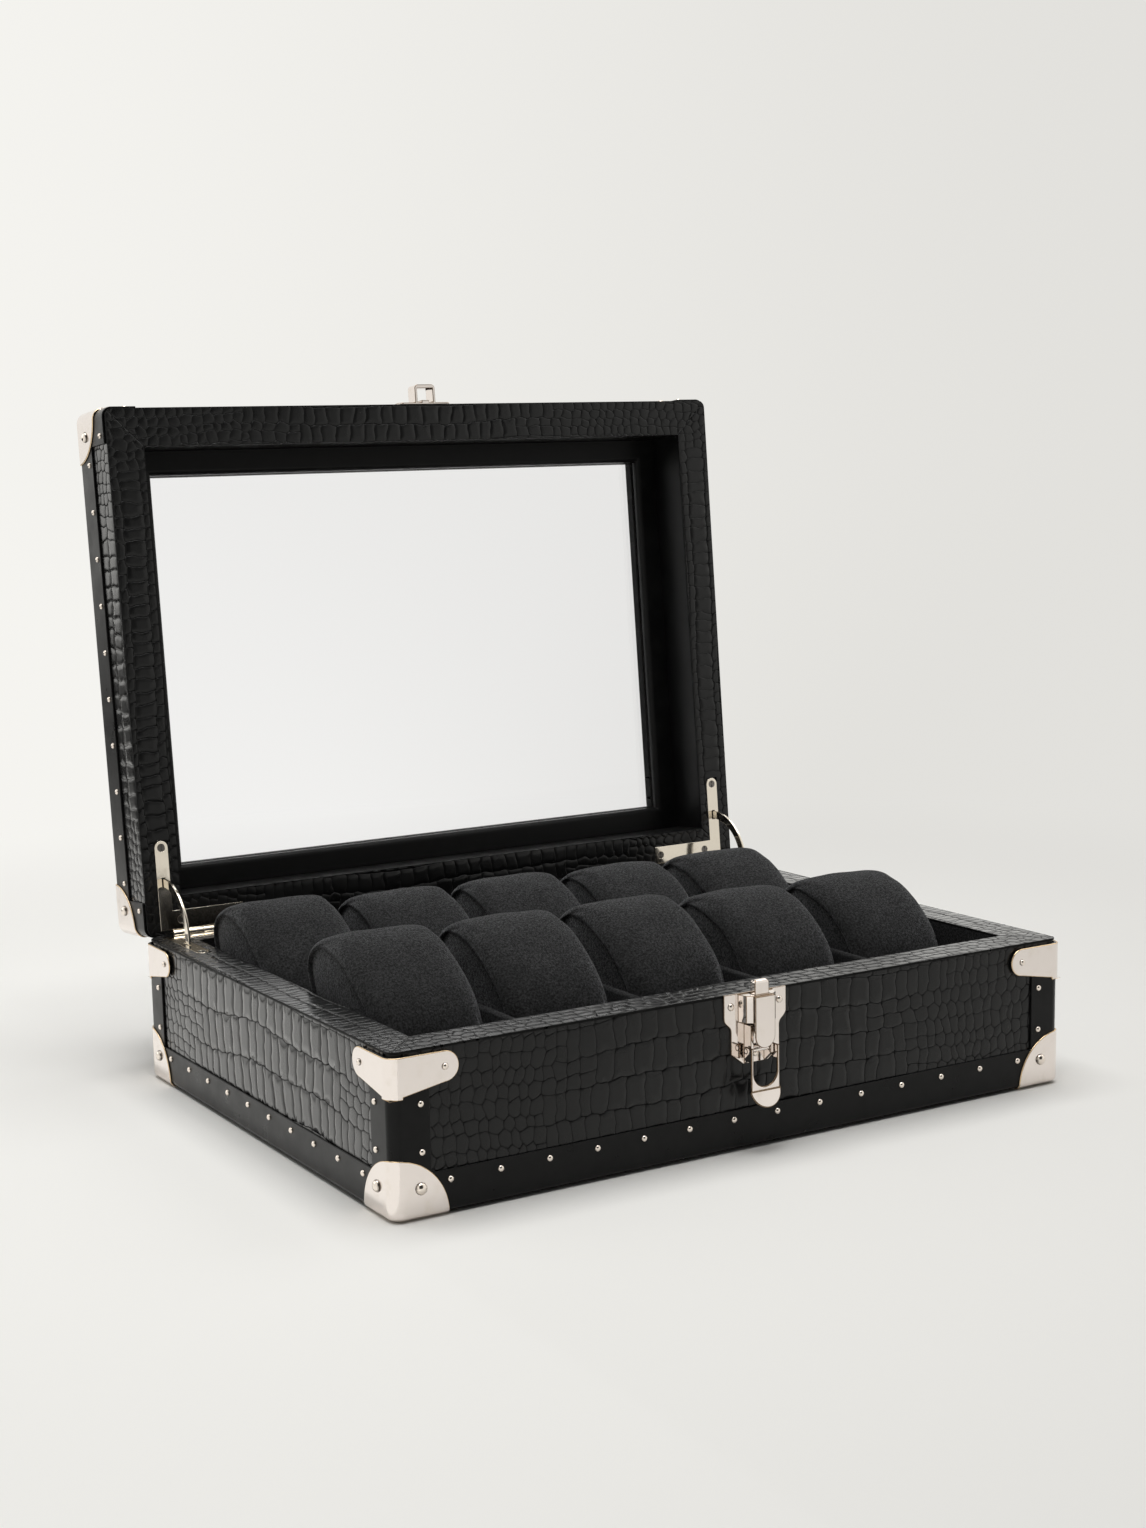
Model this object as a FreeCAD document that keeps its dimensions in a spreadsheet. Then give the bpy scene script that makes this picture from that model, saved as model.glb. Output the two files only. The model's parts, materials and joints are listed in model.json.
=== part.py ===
import FreeCAD, Part
import math
import os
import re
import Sketcher

# Watch box: a leather-covered wooden case with a glass lid, metal corners and ten cushions.
# Millimetres. The origin is the centre of the underside: X along the front, Y to the back, Z up.
# The lid's pieces are drawn shut and then swung open about the hinge line.

SIZES = [
    ("box_width", 358.0, "over the leather, left to right"),
    ("box_depth", 262.0, "over the leather, front to back"),
    ("base_height", 71.0, "floor to the base's rim"),
    ("lid_height", 38.0, "lid rim to the top leather"),
    ("parting_gap", 0.4, "between the two rims when shut"),
    ("lid_open_angle", 95.0, "shut to open"),
    ("leather", 1.0, "leather thickness"),
    ("wall", 16.5, "wooden wall thickness"),
    ("lining", 1.5, "suede-covered lining board"),
    ("floor_board", 6.0, "wooden floor"),
    ("corner_round", 4.0, "leather radius at the upright corners"),
    ("binding", 1.0, "binding strip thickness"),
    ("binding_width", 18.0, "binding strip leg"),
    ("binding_edge_round", 2.5, "binding radius along the outer edge"),
    ("corner_metal", 0.8, "sheet of the caps and clips"),
    ("cap_reach", 25.5, "corner to the cap's round edge"),
    ("clip_reach", 31.5, "corner to the clip's round end"),
    ("clip_height", 17.5, "clip at the corner"),
    ("clip_end_round", 6.5, "radius of the clip's end"),
    ("clip_drop", 2.2, "rim to the top of the clips and corner strips"),
    ("pad_clearance", 0.2, "underside pad to binding"),
    ("nail_radius", 1.5, "nail head"),
    ("nail_rise", 1.1, "nail head height"),
    ("nail_edge", 4.2, "nail to the binding's free edge"),
    ("nail_end", 26.5, "corner to the first nail of an edge"),
    ("front_nails", 14, "nails along a long edge"),
    ("side_nails", 10, "nails along a short edge"),
    ("strip_nail_low", 9.3, "binding to the lower nail of a base corner strip"),
    ("strip_nail_high", 3.0, "clip to the upper nail of a base corner strip"),
    ("lid_strip_nail", 7.0, "lid rim to its corner strip's nail"),
    ("rivet_radius", 2.7, "cap rivet head"),
    ("rivet_rise", 1.9, "cap rivet head height"),
    ("rivet_inset", 12.5, "cap rivet to each edge"),
    ("compartments", 5, "in each row"),
    ("divider", 4.0, "divider thickness"),
    ("divider_drop", 7.0, "rim to the dividers' top"),
    ("lap_clearance", 0.15, "in the dividers' half laps"),
    ("rest_drop", 8.0, "rim to the top edge of a cushion rest"),
    ("rest_lip", 3.0, "upright front face of a cushion rest"),
    ("cushion_tilt", 36.0, "slope of a cushion and its rest"),
    ("cushion_length", 80.0, "oval section, long way"),
    ("cushion_thick", 48.0, "oval section, short way"),
    ("cushion_nose", 17.0, "oval section, radius of its ends"),
    ("cushion_width", 55.0, "along the row"),
    ("cushion_shoulder", 6.0, "end face to the full section"),
    ("cushion_tuck", 1.8, "end face to the tightest turn"),
    ("cushion_end_draw", 7.0, "how far the end face is drawn in"),
    ("cushion_tuck_draw", 2.8, "how far the tightest turn is drawn in"),
    ("cushion_crown", 0.8, "swell between the shoulders"),
    ("front_seat", 35.6, "front cushions, down the slope from the rest's top edge"),
    ("back_seat", 42.4, "back cushions, down the slope from the rest's top edge"),
    ("cushion_gap", 0.3, "cushion clear of its rest"),
    ("lid_panel", 4.0, "wooden lid top"),
    ("glass", 3.0, "glass thickness"),
    ("glass_clearance", 0.5, "round the glass"),
    ("sight_border", 12.5, "lining to the glass opening"),
    ("bead_height", 4.5, "bead that holds the glass"),
    ("bead_round", 3.0, "bead radius at the opening"),
    ("hinge_back", 0.1, "hinge line behind the leather"),
    ("barrel_radius", 2.1, "hinge knuckles"),
    ("barrel_length", 23.0, "all three knuckles"),
    ("barrel_offset", 6.0, "leaf's outer edge to the barrel"),
    ("lid_knuckle", 9.0, "middle knuckle, on the lid's leaf"),
    ("knuckle_gap", 0.2, "between knuckles, and round the barrel"),
    ("hinge_pin_radius", 0.9, "hinge pin"),
    ("pin_clearance", 0.05, "running fit"),
    ("leaf", 1.5, "hinge leaf thickness"),
    ("leaf_leg_width", 7.0, "hinge leaf legs, along the side"),
    ("leaf_inset", 10.5, "side leather to the leg's middle"),
    ("leaf_reach", 47.5, "hinge line to the leg's round end"),
    ("leaf_back_length", 45.0, "leg along the back"),
    ("leaf_back_width", 9.5, "leg along the back"),
    ("leaf_clearance", 0.2, "round a let-in leaf"),
    ("leaf_screw_end", 3.5, "leaf's end to its screw"),
    ("leaf_screw_corner", 11.2, "leaf's outer edge to the screw by the barrel"),
    ("hinge_screw_radius", 1.9, "hinge screw head"),
    ("screw_clearance", 0.1, "round a screw head"),
    ("screw_slot", 0.7, "cross slot width"),
    ("screw_slot_deep", 0.6, "cross slot depth"),
    ("arm_radius", 26.3, "stay arm's middle line about the hinge"),
    ("arm_width", 4.4, "stay arm, across its curve"),
    ("arm_thick", 1.2, "stay arm sheet"),
    ("arm_overlap", 5.0, "degrees of arm inside each slot"),
    ("slot_clearance", 0.4, "round the arm"),
    ("latch_sheet", 1.0, "latch plate thickness"),
    ("latch_wing_width", 33.4, "latch plate at its top"),
    ("latch_wing_drop", 10.5, "rim to the end of the straight wings"),
    ("latch_waist_width", 26.0, "latch plate below the wings"),
    ("latch_waist_drop", 17.0, "rim to the waist"),
    ("latch_tail_drop", 27.0, "rim to the sloped tail"),
    ("latch_drop", 32.0, "rim to the tail's end"),
    ("latch_tail_width", 13.2, "end of the tail"),
    ("housing_width", 18.4, "housing at the plate"),
    ("housing_ridge_width", 15.8, "housing at its ridges"),
    ("housing_front_width", 10.8, "housing at its front"),
    ("housing_ridge_rise", 4.2, "plate to the ridges"),
    ("housing_rise", 6.2, "plate to the housing's front"),
    ("housing_top_drop", 0.5, "rim to the housing's top"),
    ("housing_drop", 12.8, "rim to the housing's lower end"),
    ("lug_gap", 9.2, "between the two lever lugs"),
    ("lug", 1.5, "lever lug thickness"),
    ("lug_rise", 5.0, "plate to the lug's front"),
    ("lug_top_drop", 14.0, "rim to the lugs' top"),
    ("lug_slope", 4.5, "rise of the lugs' sloped lower end"),
    ("pivot_drop", 25.4, "rim to the lever pivot"),
    ("pivot_rise", 3.2, "plate to the lever pivot"),
    ("pivot_radius", 0.9, "lever pivot pin"),
    ("tongue_width", 10.6, "tongue's front bar"),
    ("tongue_bar", 1.0, "tongue's front bar thickness"),
    ("tongue_top_drop", 0.9, "rim to the bar's top"),
    ("tongue_drop", 24.1, "rim to the bar's round end"),
    ("tongue_gap", 0.3, "tongue clear of the housing"),
    ("bolt_width", 7.6, "bolt that enters the keeper"),
    ("bolt_thick", 3.6, "bolt thickness"),
    ("bolt_offset", 1.4, "plate to the bolt"),
    ("bolt_rise", 5.9, "rim to the bolt's top"),
    ("bolt_tail_drop", 17.5, "rim to the bolt's lower end"),
    ("bolt_round", 1.5, "radius at the bolt's top"),
    ("lever_width", 15.2, "lever plate"),
    ("lever_sheet", 1.2, "lever sheet"),
    ("lever_rise", 6.2, "plate to the lever's back"),
    ("lever_eye_width", 12.8, "opening in the lever"),
    ("lever_eye_drop", 41.3, "rim to the opening's round end"),
    ("lever_bend_drop", 43.2, "rim to the bend"),
    ("lever_top_drop", 30.0, "rim to the ears' lower edge"),
    ("lever_tab", 8.0, "radius of the half-round finger tab"),
    ("lever_tab_angle", 22.0, "finger tab outwards"),
    ("lever_ear_up", 1.9, "pivot to the ear's top"),
    ("lever_ear_back", 1.2, "pivot to the ear's back"),
    ("keeper_width", 30.0, "keeper plate"),
    ("keeper_height", 14.0, "keeper plate"),
    ("keeper_round", 2.0, "keeper plate corners"),
    ("keeper_lift", 0.8, "lid rim to the keeper"),
    ("keeper_sheet", 1.0, "keeper plate"),
    ("loop_width", 12.0, "keeper loop, outside"),
    ("loop_wall", 1.4, "keeper loop sides"),
    ("loop_rise", 9.4, "plate to the loop's front"),
    ("loop_front", 2.0, "keeper loop front"),
    ("loop_height", 8.0, "keeper loop along the lid"),
    ("catch_width", 4.4, "catch strip inside the loop"),
    ("catch_rise", 1.2, "catch strip proud of the keeper plate"),
    ("small_rivet_radius", 1.7, "latch and keeper rivets"),
    ("small_rivet_rise", 1.1, "latch and keeper rivets"),
    ("latch_rivet_edge", 3.7, "wing's edge to its rivet"),
    ("latch_rivet_drop", 5.6, "rim to the wing rivets"),
    ("tail_rivet_drop", 27.8, "rim to the tail rivet"),
    ("keeper_rivet_edge", 4.0, "keeper's edge to its rivet"),
]

doc = FreeCAD.newDocument("watch_box")
sheet = doc.addObject("Spreadsheet::Sheet", "dims")
for row, (alias, value, note) in enumerate(SIZES, start=1):
    sheet.set(f"A{row}", alias)
    sheet.set(f"B{row}", str(value))
    sheet.set(f"C{row}", note)
    sheet.setAlias(f"B{row}", alias)
doc.recompute()
size = {alias: float(sheet.get(alias)) for alias, value, note in SIZES}

# Places that several pieces share, as formulas of the sheet's sizes.
FOOT = "(corner_metal + binding)"
RIM = "(leather + wall + lining)"
BASE_TOP = "(base_height - leather)"
WELL_FLOOR = f"({FOOT} + floor_board)"
FLOOR_TOP = f"({WELL_FLOOR} + lining)"
WOOD_WIDTH = "(box_width - 2 * leather)"
WOOD_DEPTH = "(box_depth - 2 * leather)"
INNER_WIDTH = f"(box_width - 2 * {RIM})"
INNER_DEPTH = f"(box_depth - 2 * {RIM})"
WELL_WIDTH = f"({INNER_WIDTH} + 2 * lining)"
WELL_DEPTH = f"({INNER_DEPTH} + 2 * lining)"
STRIP_TOP = "(base_height - clip_drop)"
BINDING_WIDE = "(box_width + 2 * binding)"
BINDING_DEEP = "(box_depth + 2 * binding)"
BINDING_TOP = "(corner_metal + binding_width)"
CAP_WIDE = f"({BINDING_WIDE} + 2 * corner_metal)"
CAP_DEEP = f"({BINDING_DEEP} + 2 * corner_metal)"
LID_RIM = "(base_height + parting_gap)"
LID_TOP = f"({LID_RIM} + lid_height)"
LID_WOOD_LOW = f"({LID_RIM} + leather)"
LID_WOOD_TOP = f"({LID_TOP} - leather)"
LID_STRIP_LOW = f"({LID_RIM} + clip_drop)"
LID_BINDING_TOP = f"({LID_TOP} + binding)"
LID_BINDING_LOW = f"({LID_BINDING_TOP} - binding_width)"
GLASS_TOP = f"({LID_WOOD_TOP} - lid_panel)"
GLASS_UNDER = f"({GLASS_TOP} - glass)"
SIGHT_WIDTH = f"({INNER_WIDTH} - 2 * sight_border)"
SIGHT_DEPTH = f"({INNER_DEPTH} - 2 * sight_border)"
HINGE_Y = "(box_depth / 2 + hinge_back)"
HINGE_Z = "(base_height + parting_gap / 2)"
LEG_X = "(box_width / 2 - leaf_inset)"
LEAF_EDGE = f"({LEG_X} + leaf_leg_width / 2)"
LEAF_BACK = f"({HINGE_Y} - barrel_radius - knuckle_gap)"
BARREL_X = f"({LEAF_EDGE} - barrel_offset - barrel_length / 2)"
BARREL_CLEAR = "(barrel_radius + knuckle_gap)"
ARM_OUTER = "(arm_radius + arm_width / 2)"
ARM_INNER = "(arm_radius - arm_width / 2)"
ARM_SWEEP = "(lid_open_angle / 2 + arm_overlap)"
DIVIDER_TOP = "(base_height - divider_drop)"
DIVIDER_TALL = f"({DIVIDER_TOP} - {FLOOR_TOP})"
CELL_PITCH = f"(({INNER_WIDTH} + divider) / compartments)"
CELL_WIDTH = f"({CELL_PITCH} - divider)"
REST_TOP = "(base_height - rest_drop)"
LATCH_FRONT = "(0 - box_depth / 2 - latch_sheet)"
BAR_BACK = f"({LATCH_FRONT} - housing_rise - tongue_gap)"

ALONG_X = FreeCAD.Rotation(FreeCAD.Vector(0, 1, 0), 90)
ALONG_Y = FreeCAD.Rotation(FreeCAD.Vector(1, 0, 0), -90)
UPRIGHT = FreeCAD.Rotation()
SIDES = (("left", -1), ("right", 1))
CORNERS = [(sx, sy) for sx in (-1, 1) for sy in (-1, 1)]
CELLS = range(int(size["compartments"]))
ROWS = ("front", "back")
ALIASES = set(size)
parts = []


def bind(target, path, formula):
    """Ties one property of an object to a formula of the sheet's sizes."""
    words = re.sub(r"[a-z_]+", lambda m: "dims." + m[0] if m[0] in ALIASES else m[0], str(formula))
    target.setExpression(path, words)


def value(formula):
    """The number that a formula of the sheet's sizes gives; its angles are in degrees."""
    probe = doc.getObject("probe") or doc.addObject("App::FeaturePython", "probe")
    if "result" not in probe.PropertiesList:
        probe.addProperty("App::PropertyFloat", "result")
    bind(probe, "result", formula)
    probe.recompute()
    return probe.result


def keep(made, label, lid=False):
    """Makes an object one of the finished sub-parts; a lid's piece is swung open."""
    made.Label = label
    if lid:
        made.Placement = OPEN
    parts.append(made)
    return made


def box(name, lengths, corner):
    """A box with its three lengths and its lowest corner as formulas."""
    made = doc.addObject("Part::Box", name)
    for prop, formula in zip(("Length", "Width", "Height"), lengths):
        bind(made, prop, formula)
    for axis, formula in zip("xyz", corner):
        bind(made, "Placement.Base." + axis, formula)
    return made


def slab(name, width, depth, low, high, x="0", y="0"):
    """A box between two levels, centred on x and y."""
    lengths = (width, depth, f"({high}) - ({low})")
    return box(name, lengths, (f"({x}) - ({width}) / 2", f"({y}) - ({depth}) / 2", low))


def cylinder(name, radius, length, start, turn=UPRIGHT):
    """A cylinder from a start point, turned from +Z by a rotation."""
    made = doc.addObject("Part::Cylinder", name)
    bind(made, "Radius", radius)
    bind(made, "Height", length)
    made.Placement = FreeCAD.Placement(FreeCAD.Vector(0, 0, 0), turn)
    for axis, formula in zip("xyz", start):
        bind(made, "Placement.Base." + axis, formula)
    return made


def rounded(name, base, radius, chosen):
    """Rounds the edges of base that the test chosen picks."""
    doc.recompute()
    made = doc.addObject("Part::Fillet", name)
    made.Base = base
    picked = [i for i, edge in enumerate(base.Shape.Edges, start=1) if chosen(edge)]
    made.Edges = [(i, radius, radius) for i in picked]
    return made


def runs_along(axis):
    """A test for straight edges along one axis."""
    others = [a for a in "XYZ" if a != axis]
    return lambda edge: all(getattr(edge.BoundBox, a + "Length") < 1e-6 for a in others)


def at_level(level):
    """A test for edges that lie flat at one height."""
    return lambda edge: abs(edge.BoundBox.ZMin - level) < 1e-6 and abs(edge.BoundBox.ZMax - level) < 1e-6


def round_slab(name, width, depth, low, high, radius):
    """A slab about the Z axis with rounded upright edges."""
    return rounded(name, slab(name + "_block", width, depth, low, high), radius, runs_along("Z"))


def fuse(name, shapes):
    """One solid out of several."""
    made = doc.addObject("Part::MultiFuse", name)
    made.Shapes = shapes
    return made


def group(name, shapes):
    """Several separate solids under one name."""
    made = doc.addObject("Part::Compound", name)
    made.Links = shapes
    return made


def cut(name, base, tools):
    """Base less one tool or several."""
    made = doc.addObject("Part::Cut", name)
    made.Base = base
    made.Tool = tools[0] if len(tools) == 1 else fuse(name + "_tools", tools)
    return made


def common(name, base, tool):
    """What two shapes share."""
    made = doc.addObject("Part::Common", name)
    made.Base = base
    made.Tool = tool
    return made


def feature(label, shape, lid=False):
    """A sub-part whose shape is made directly."""
    made = doc.addObject("Part::Feature", label)
    made.Shape = shape
    return keep(made, label, lid)


def rectangle(body, name, width, depth, x, y, level):
    """A sketch on the body's own XY plane with one rectangle centred on x, y at a level."""
    sketch = body.newObject("Sketcher::SketchObject", name)
    plane = next(f for f in body.Origin.OriginFeatures if f.Role == "XY_Plane")
    sketch.AttachmentSupport = (plane, [""])
    sketch.MapMode = "FlatFace"
    for axis, formula in zip("xyz", (x, y, level)):
        bind(sketch, "AttachmentOffset.Base." + axis, formula)
    points = [FreeCAD.Vector(sx, sy, 0) for sx, sy in ((-1, -1), (1, -1), (1, 1), (-1, 1))]
    for start, end in zip(points, points[1:] + points[:1]):
        sketch.addGeometry(Part.LineSegment(start, end))
    for line in range(4):
        sketch.addConstraint(Sketcher.Constraint("Coincident", line, 2, (line + 1) % 4, 1))
        sketch.addConstraint(Sketcher.Constraint("Vertical" if line % 2 else "Horizontal", line))
    sketch.addConstraint(Sketcher.Constraint("Symmetric", 0, 1, 2, 1, -1, 1))
    for name, axis, line, formula in (("width", "X", 0, width), ("depth", "Y", 1, depth)):
        made = sketch.addConstraint(Sketcher.Constraint("Distance" + axis, line, 1, line, 2, 2.0))
        sketch.renameConstraint(made, name)
        bind(sketch, "Constraints." + name, formula)
    return sketch


def board(label, low, high, pockets):
    """A wooden block with rounded upright edges and rectangular pockets.

    Each pocket is (width, depth, x, y, lower level, upper level), all formulas.
    """
    body = doc.addObject("PartDesign::Body", label)
    pad = body.newObject("PartDesign::Pad", label + "_pad")
    pad.Profile = rectangle(body, label + "_outline", WOOD_WIDTH, WOOD_DEPTH, "0", "0", low)
    bind(pad, "Length", f"{high} - {low}")
    doc.recompute()
    upright = runs_along("Z")
    edges = [f"Edge{i}" for i, edge in enumerate(pad.Shape.Edges, start=1) if upright(edge)]
    fillet = body.newObject("PartDesign::Fillet", label + "_corners")
    fillet.Base = (pad, edges)
    bind(fillet, "Radius", "corner_round - leather")
    for i, (wide, deep, x, y, bottom, top) in enumerate(pockets, start=1):
        doc.recompute()
        before = body.Shape.Volume
        pocket = body.newObject("PartDesign::Pocket", f"{label}_pocket_{i}")
        pocket.Profile = rectangle(body, f"{label}_mouth_{i}", wide, deep, x, y, top)
        bind(pocket, "Length", f"{top} - {bottom}")
        doc.recompute()
        if body.Shape.Volume >= before:
            raise RuntimeError(f"{label}: pocket {i} cuts nothing")
    return body


def dome(radius, rise, at, outward):
    """A round nail or rivet head that sits with its flat face at a point."""
    ball = (radius * radius + rise * rise) / (2 * rise)
    middle = at + outward * (rise - ball)
    return Part.makeSphere(ball, middle, outward, math.degrees(math.asin(1 - rise / ball)), 90, 360)


def spread(count, reach):
    """Evenly spaced places from -reach to +reach."""
    return [reach * (2 * i / (count - 1) - 1) for i in range(int(count))]


def span(start, end):
    """The length and the middle of a stretch between two formulas."""
    return f"(({end}) - ({start}))", f"((({start}) + ({end})) / 2)"


OPEN = FreeCAD.Placement(
    FreeCAD.Vector(0, 0, 0),
    FreeCAD.Rotation(FreeCAD.Vector(1, 0, 0), -size["lid_open_angle"]),
    FreeCAD.Vector(0, value(HINGE_Y), value(HINGE_Z)),
)


def hinge_recesses():
    """The cuts that let both hinges into a rim: (kind, width, depth, x, y, how deep), as formulas."""
    wood_back = "(box_depth / 2 - leather)"
    leg = span(f"{HINGE_Y} - leaf_reach - leaf_clearance", wood_back)
    back = span(f"{LEAF_BACK} - leaf_back_width - leaf_clearance", wood_back)
    arm = span(
        f"{HINGE_Y} - {ARM_OUTER} - slot_clearance",
        f"{HINGE_Y} - {ARM_INNER} * cos({ARM_SWEEP}) + slot_clearance",
    )
    barrel = span(LEAF_BACK, HINGE_Y)
    arm_down = f"({ARM_OUTER} * sin({ARM_SWEEP}) + slot_clearance - parting_gap / 2)"
    barrel_down = f"({BARREL_CLEAR} - parting_gap / 2)"
    recesses = []
    for name, sign in SIDES:
        leg_x = f"({sign} * {LEG_X})"
        back_x = f"({sign} * ({LEAF_EDGE} - leaf_back_length / 2))"
        barrel_x = f"({sign} * {BARREL_X})"
        recesses += [
            ("leaf", "(leaf_leg_width + 2 * leaf_clearance)", leg[0], leg_x, leg[1], "leaf"),
            ("leaf", "(leaf_back_length + 2 * leaf_clearance)", back[0], back_x, back[1], "leaf"),
            ("arm", "(arm_thick + 2 * slot_clearance)", arm[0], leg_x, arm[1], arm_down),
            ("barrel", "(barrel_length + 2 * knuckle_gap)", barrel[0], barrel_x, barrel[1], barrel_down),
        ]
    return recesses


def recess_boxes(name, lid, kinds):
    """Boxes that cut the recesses of some kinds out of a leather."""
    made = []
    for i, (kind, wide, deep, x, y, down) in enumerate(hinge_recesses(), start=1):
        if kind in kinds:
            low = LID_RIM if lid else f"(base_height - {down})"
            high = f"({LID_RIM} + {down})" if lid else "base_height"
            made.append(slab(f"{name}_recess_{i}", wide, deep, low, high, x, y))
    return made


# Wooden carcass and lid frame.
base_pockets = [(WELL_WIDTH, WELL_DEPTH, "0", "0", WELL_FLOOR, BASE_TOP)]
lid_pockets = [
    (SIGHT_WIDTH, SIGHT_DEPTH, "0", "0", LID_WOOD_LOW, LID_WOOD_TOP),
    (WELL_WIDTH, WELL_DEPTH, "0", "0", LID_WOOD_LOW, GLASS_TOP),
]
for kind, wide, deep, x, y, down in hinge_recesses():
    base_pockets.append((wide, deep, x, y, f"(base_height - {down})", BASE_TOP))
    lid_pockets.append((wide, deep, x, y, LID_WOOD_LOW, f"({LID_RIM} + {down})"))
keep(board("base_carcass", FOOT, BASE_TOP, base_pockets), "base_carcass")
keep(board("lid_frame", LID_WOOD_LOW, LID_WOOD_TOP, lid_pockets), "lid_frame", lid=True)


# Leather on the sides, the rims and the lid's top.
def leather_ring(label, low, high, window, recesses, lid):
    """A leather layer about the Z axis with a window through it."""
    outline = round_slab(label + "_outline", "box_width", "box_depth", low, high, size["corner_round"])
    return keep(cut(label, outline, [window] + recesses), label, lid)


def wood_block(name, low, high):
    """The space that the wood fills behind a side leather."""
    radius = size["corner_round"] - size["leather"]
    return round_slab(name, WOOD_WIDTH, WOOD_DEPTH, low, high, radius)


for label, low, high, lid in (
    ("base_side_leather", FOOT, BASE_TOP, False),
    ("lid_side_leather", LID_WOOD_LOW, LID_WOOD_TOP, True),
):
    notches = recess_boxes(label, lid, ("barrel",))
    leather_ring(label, low, high, wood_block(label + "_wood", low, high), notches, lid)
for label, low, high, lid in (
    ("base_rim_leather", BASE_TOP, "base_height", False),
    ("lid_rim_leather", LID_RIM, LID_WOOD_LOW, True),
):
    window = slab(label + "_window", INNER_WIDTH, INNER_DEPTH, low, high)
    leather_ring(label, low, high, window, recess_boxes(label, lid, ("leaf", "barrel")), lid)
window = slab("lid_top_window", SIGHT_WIDTH, SIGHT_DEPTH, LID_WOOD_TOP, LID_TOP)
leather_ring("lid_top_leather", LID_WOOD_TOP, LID_TOP, window, [], lid=True)


# Bindings, corner strips, caps and clips follow two coverings over the leather.
def covering(name, width, depth, low, high, grow, edge):
    """A block over the leather with rounded corners and one rounded outer edge."""
    block = round_slab(name + "_corners", width, depth, low, high, size["corner_round"] + grow)
    doc.recompute()
    radius = size["binding_edge_round"] + grow - size["binding"]
    return rounded(name, block, radius, at_level(value(edge)))


def mitre(name, length, turn, middle, low, high):
    """A trapezium-shaped block over one side, cut at 45 degrees at its ends."""
    made = doc.addObject("Part::Wedge", name)
    inward = "(2 * binding_width)"
    for prop, formula in (
        ("Xmin", f"0 - {length} / 2"),
        ("Xmax", f"{length} / 2"),
        ("Ymin", "0"),
        ("Ymax", inward),
        ("X2min", f"{inward} - {length} / 2"),
        ("X2max", f"{length} / 2 - {inward}"),
        ("Zmin", "0"),
        ("Zmax", f"{high} - {low}"),
        ("Z2min", "0"),
        ("Z2max", f"{high} - {low}"),
    ):
        bind(made, prop, formula)
    made.Placement = FreeCAD.Placement(FreeCAD.Vector(0, 0, 0), FreeCAD.Rotation(turn, 0, 0))
    for axis, formula in zip("xyz", (*middle, low)):
        bind(made, "Placement.Base." + axis, formula)
    return made


def trim(prefix, strip_end, edge, outer, side_low, side_high, lid):
    """The bindings, corner strips and caps of the base or the lid; returns the caps' shell."""
    low, high = (strip_end, edge) if lid else (edge, strip_end)
    under = covering(prefix + "_under", BINDING_WIDE, BINDING_DEEP, low, high, size["binding"], edge)
    low, high = (strip_end, outer) if lid else (outer, strip_end)
    both = size["binding"] + size["corner_metal"]
    over = covering(prefix + "_over", CAP_WIDE, CAP_DEEP, low, high, both, outer)
    low, high = (LID_RIM, LID_TOP) if lid else (FOOT, "base_height")
    leather = round_slab(prefix + "_leather", "box_width", "box_depth", low, high, size["corner_round"])
    low, high = (LID_TOP, edge) if lid else (edge, FOOT)
    window_wide = f"({BINDING_WIDE} - 2 * binding_width)"
    window_deep = f"({BINDING_DEEP} - 2 * binding_width)"
    window = slab(prefix + "_window", window_wide, window_deep, low, high)
    ring = cut(prefix + "_ring", under, [leather, window])
    for side, length, turn, middle in (
        ("front", BINDING_WIDE, 0, ("0", f"0 - {BINDING_DEEP} / 2")),
        ("right", BINDING_DEEP, 90, (f"{BINDING_WIDE} / 2", "0")),
        ("back", BINDING_WIDE, 180, ("0", f"{BINDING_DEEP} / 2")),
        ("left", BINDING_DEEP, 270, (f"0 - {BINDING_WIDE} / 2", "0")),
    ):
        label = f"{prefix}_binding_{side}"
        block = mitre(label + "_mitre", length, turn, middle, side_low, side_high)
        keep(common(label, ring, block), label, lid)
    low, high = (strip_end, side_low) if lid else (side_high, strip_end)
    corners = []
    balls = []
    for i, (sx, sy) in enumerate(CORNERS, start=1):
        x = f"{sx} * ({BINDING_WIDE} - binding_width) / 2"
        y = f"{sy} * ({BINDING_DEEP} - binding_width) / 2"
        corners.append(slab(f"{prefix}_corner_{i}", "binding_width", "binding_width", low, high, x, y))
        ball = doc.addObject("Part::Sphere", f"{prefix}_ball_{i}")
        bind(ball, "Radius", "cap_reach")
        place = (f"{sx} * {BINDING_WIDE} / 2", f"{sy} * {BINDING_DEEP} / 2", edge)
        for axis, formula in zip("xyz", place):
            bind(ball, "Placement.Base." + axis, formula)
        balls.append(ball)
    label = prefix + "_corner_strips"
    keep(common(label, ring, group(prefix + "_corner_blocks", corners)), label, lid)
    shell = cut(prefix + "_metal", over, [under])
    keep(common(prefix + "_caps", shell, group(prefix + "_balls", balls)), prefix + "_caps", lid)
    return shell


metal = trim("base", STRIP_TOP, "corner_metal", "0", "corner_metal", BINDING_TOP, lid=False)
lid_cap_top = f"({LID_BINDING_TOP} + corner_metal)"
trim("lid", LID_STRIP_LOW, LID_BINDING_TOP, lid_cap_top, LID_BINDING_LOW, LID_BINDING_TOP, lid=True)
pad_width = f"({BINDING_WIDE} - 2 * binding_width - 2 * pad_clearance)"
pad_depth = f"({BINDING_DEEP} - 2 * binding_width - 2 * pad_clearance)"
keep(slab("base_underside", pad_width, pad_depth, "0", FOOT), "base_underside")


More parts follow.
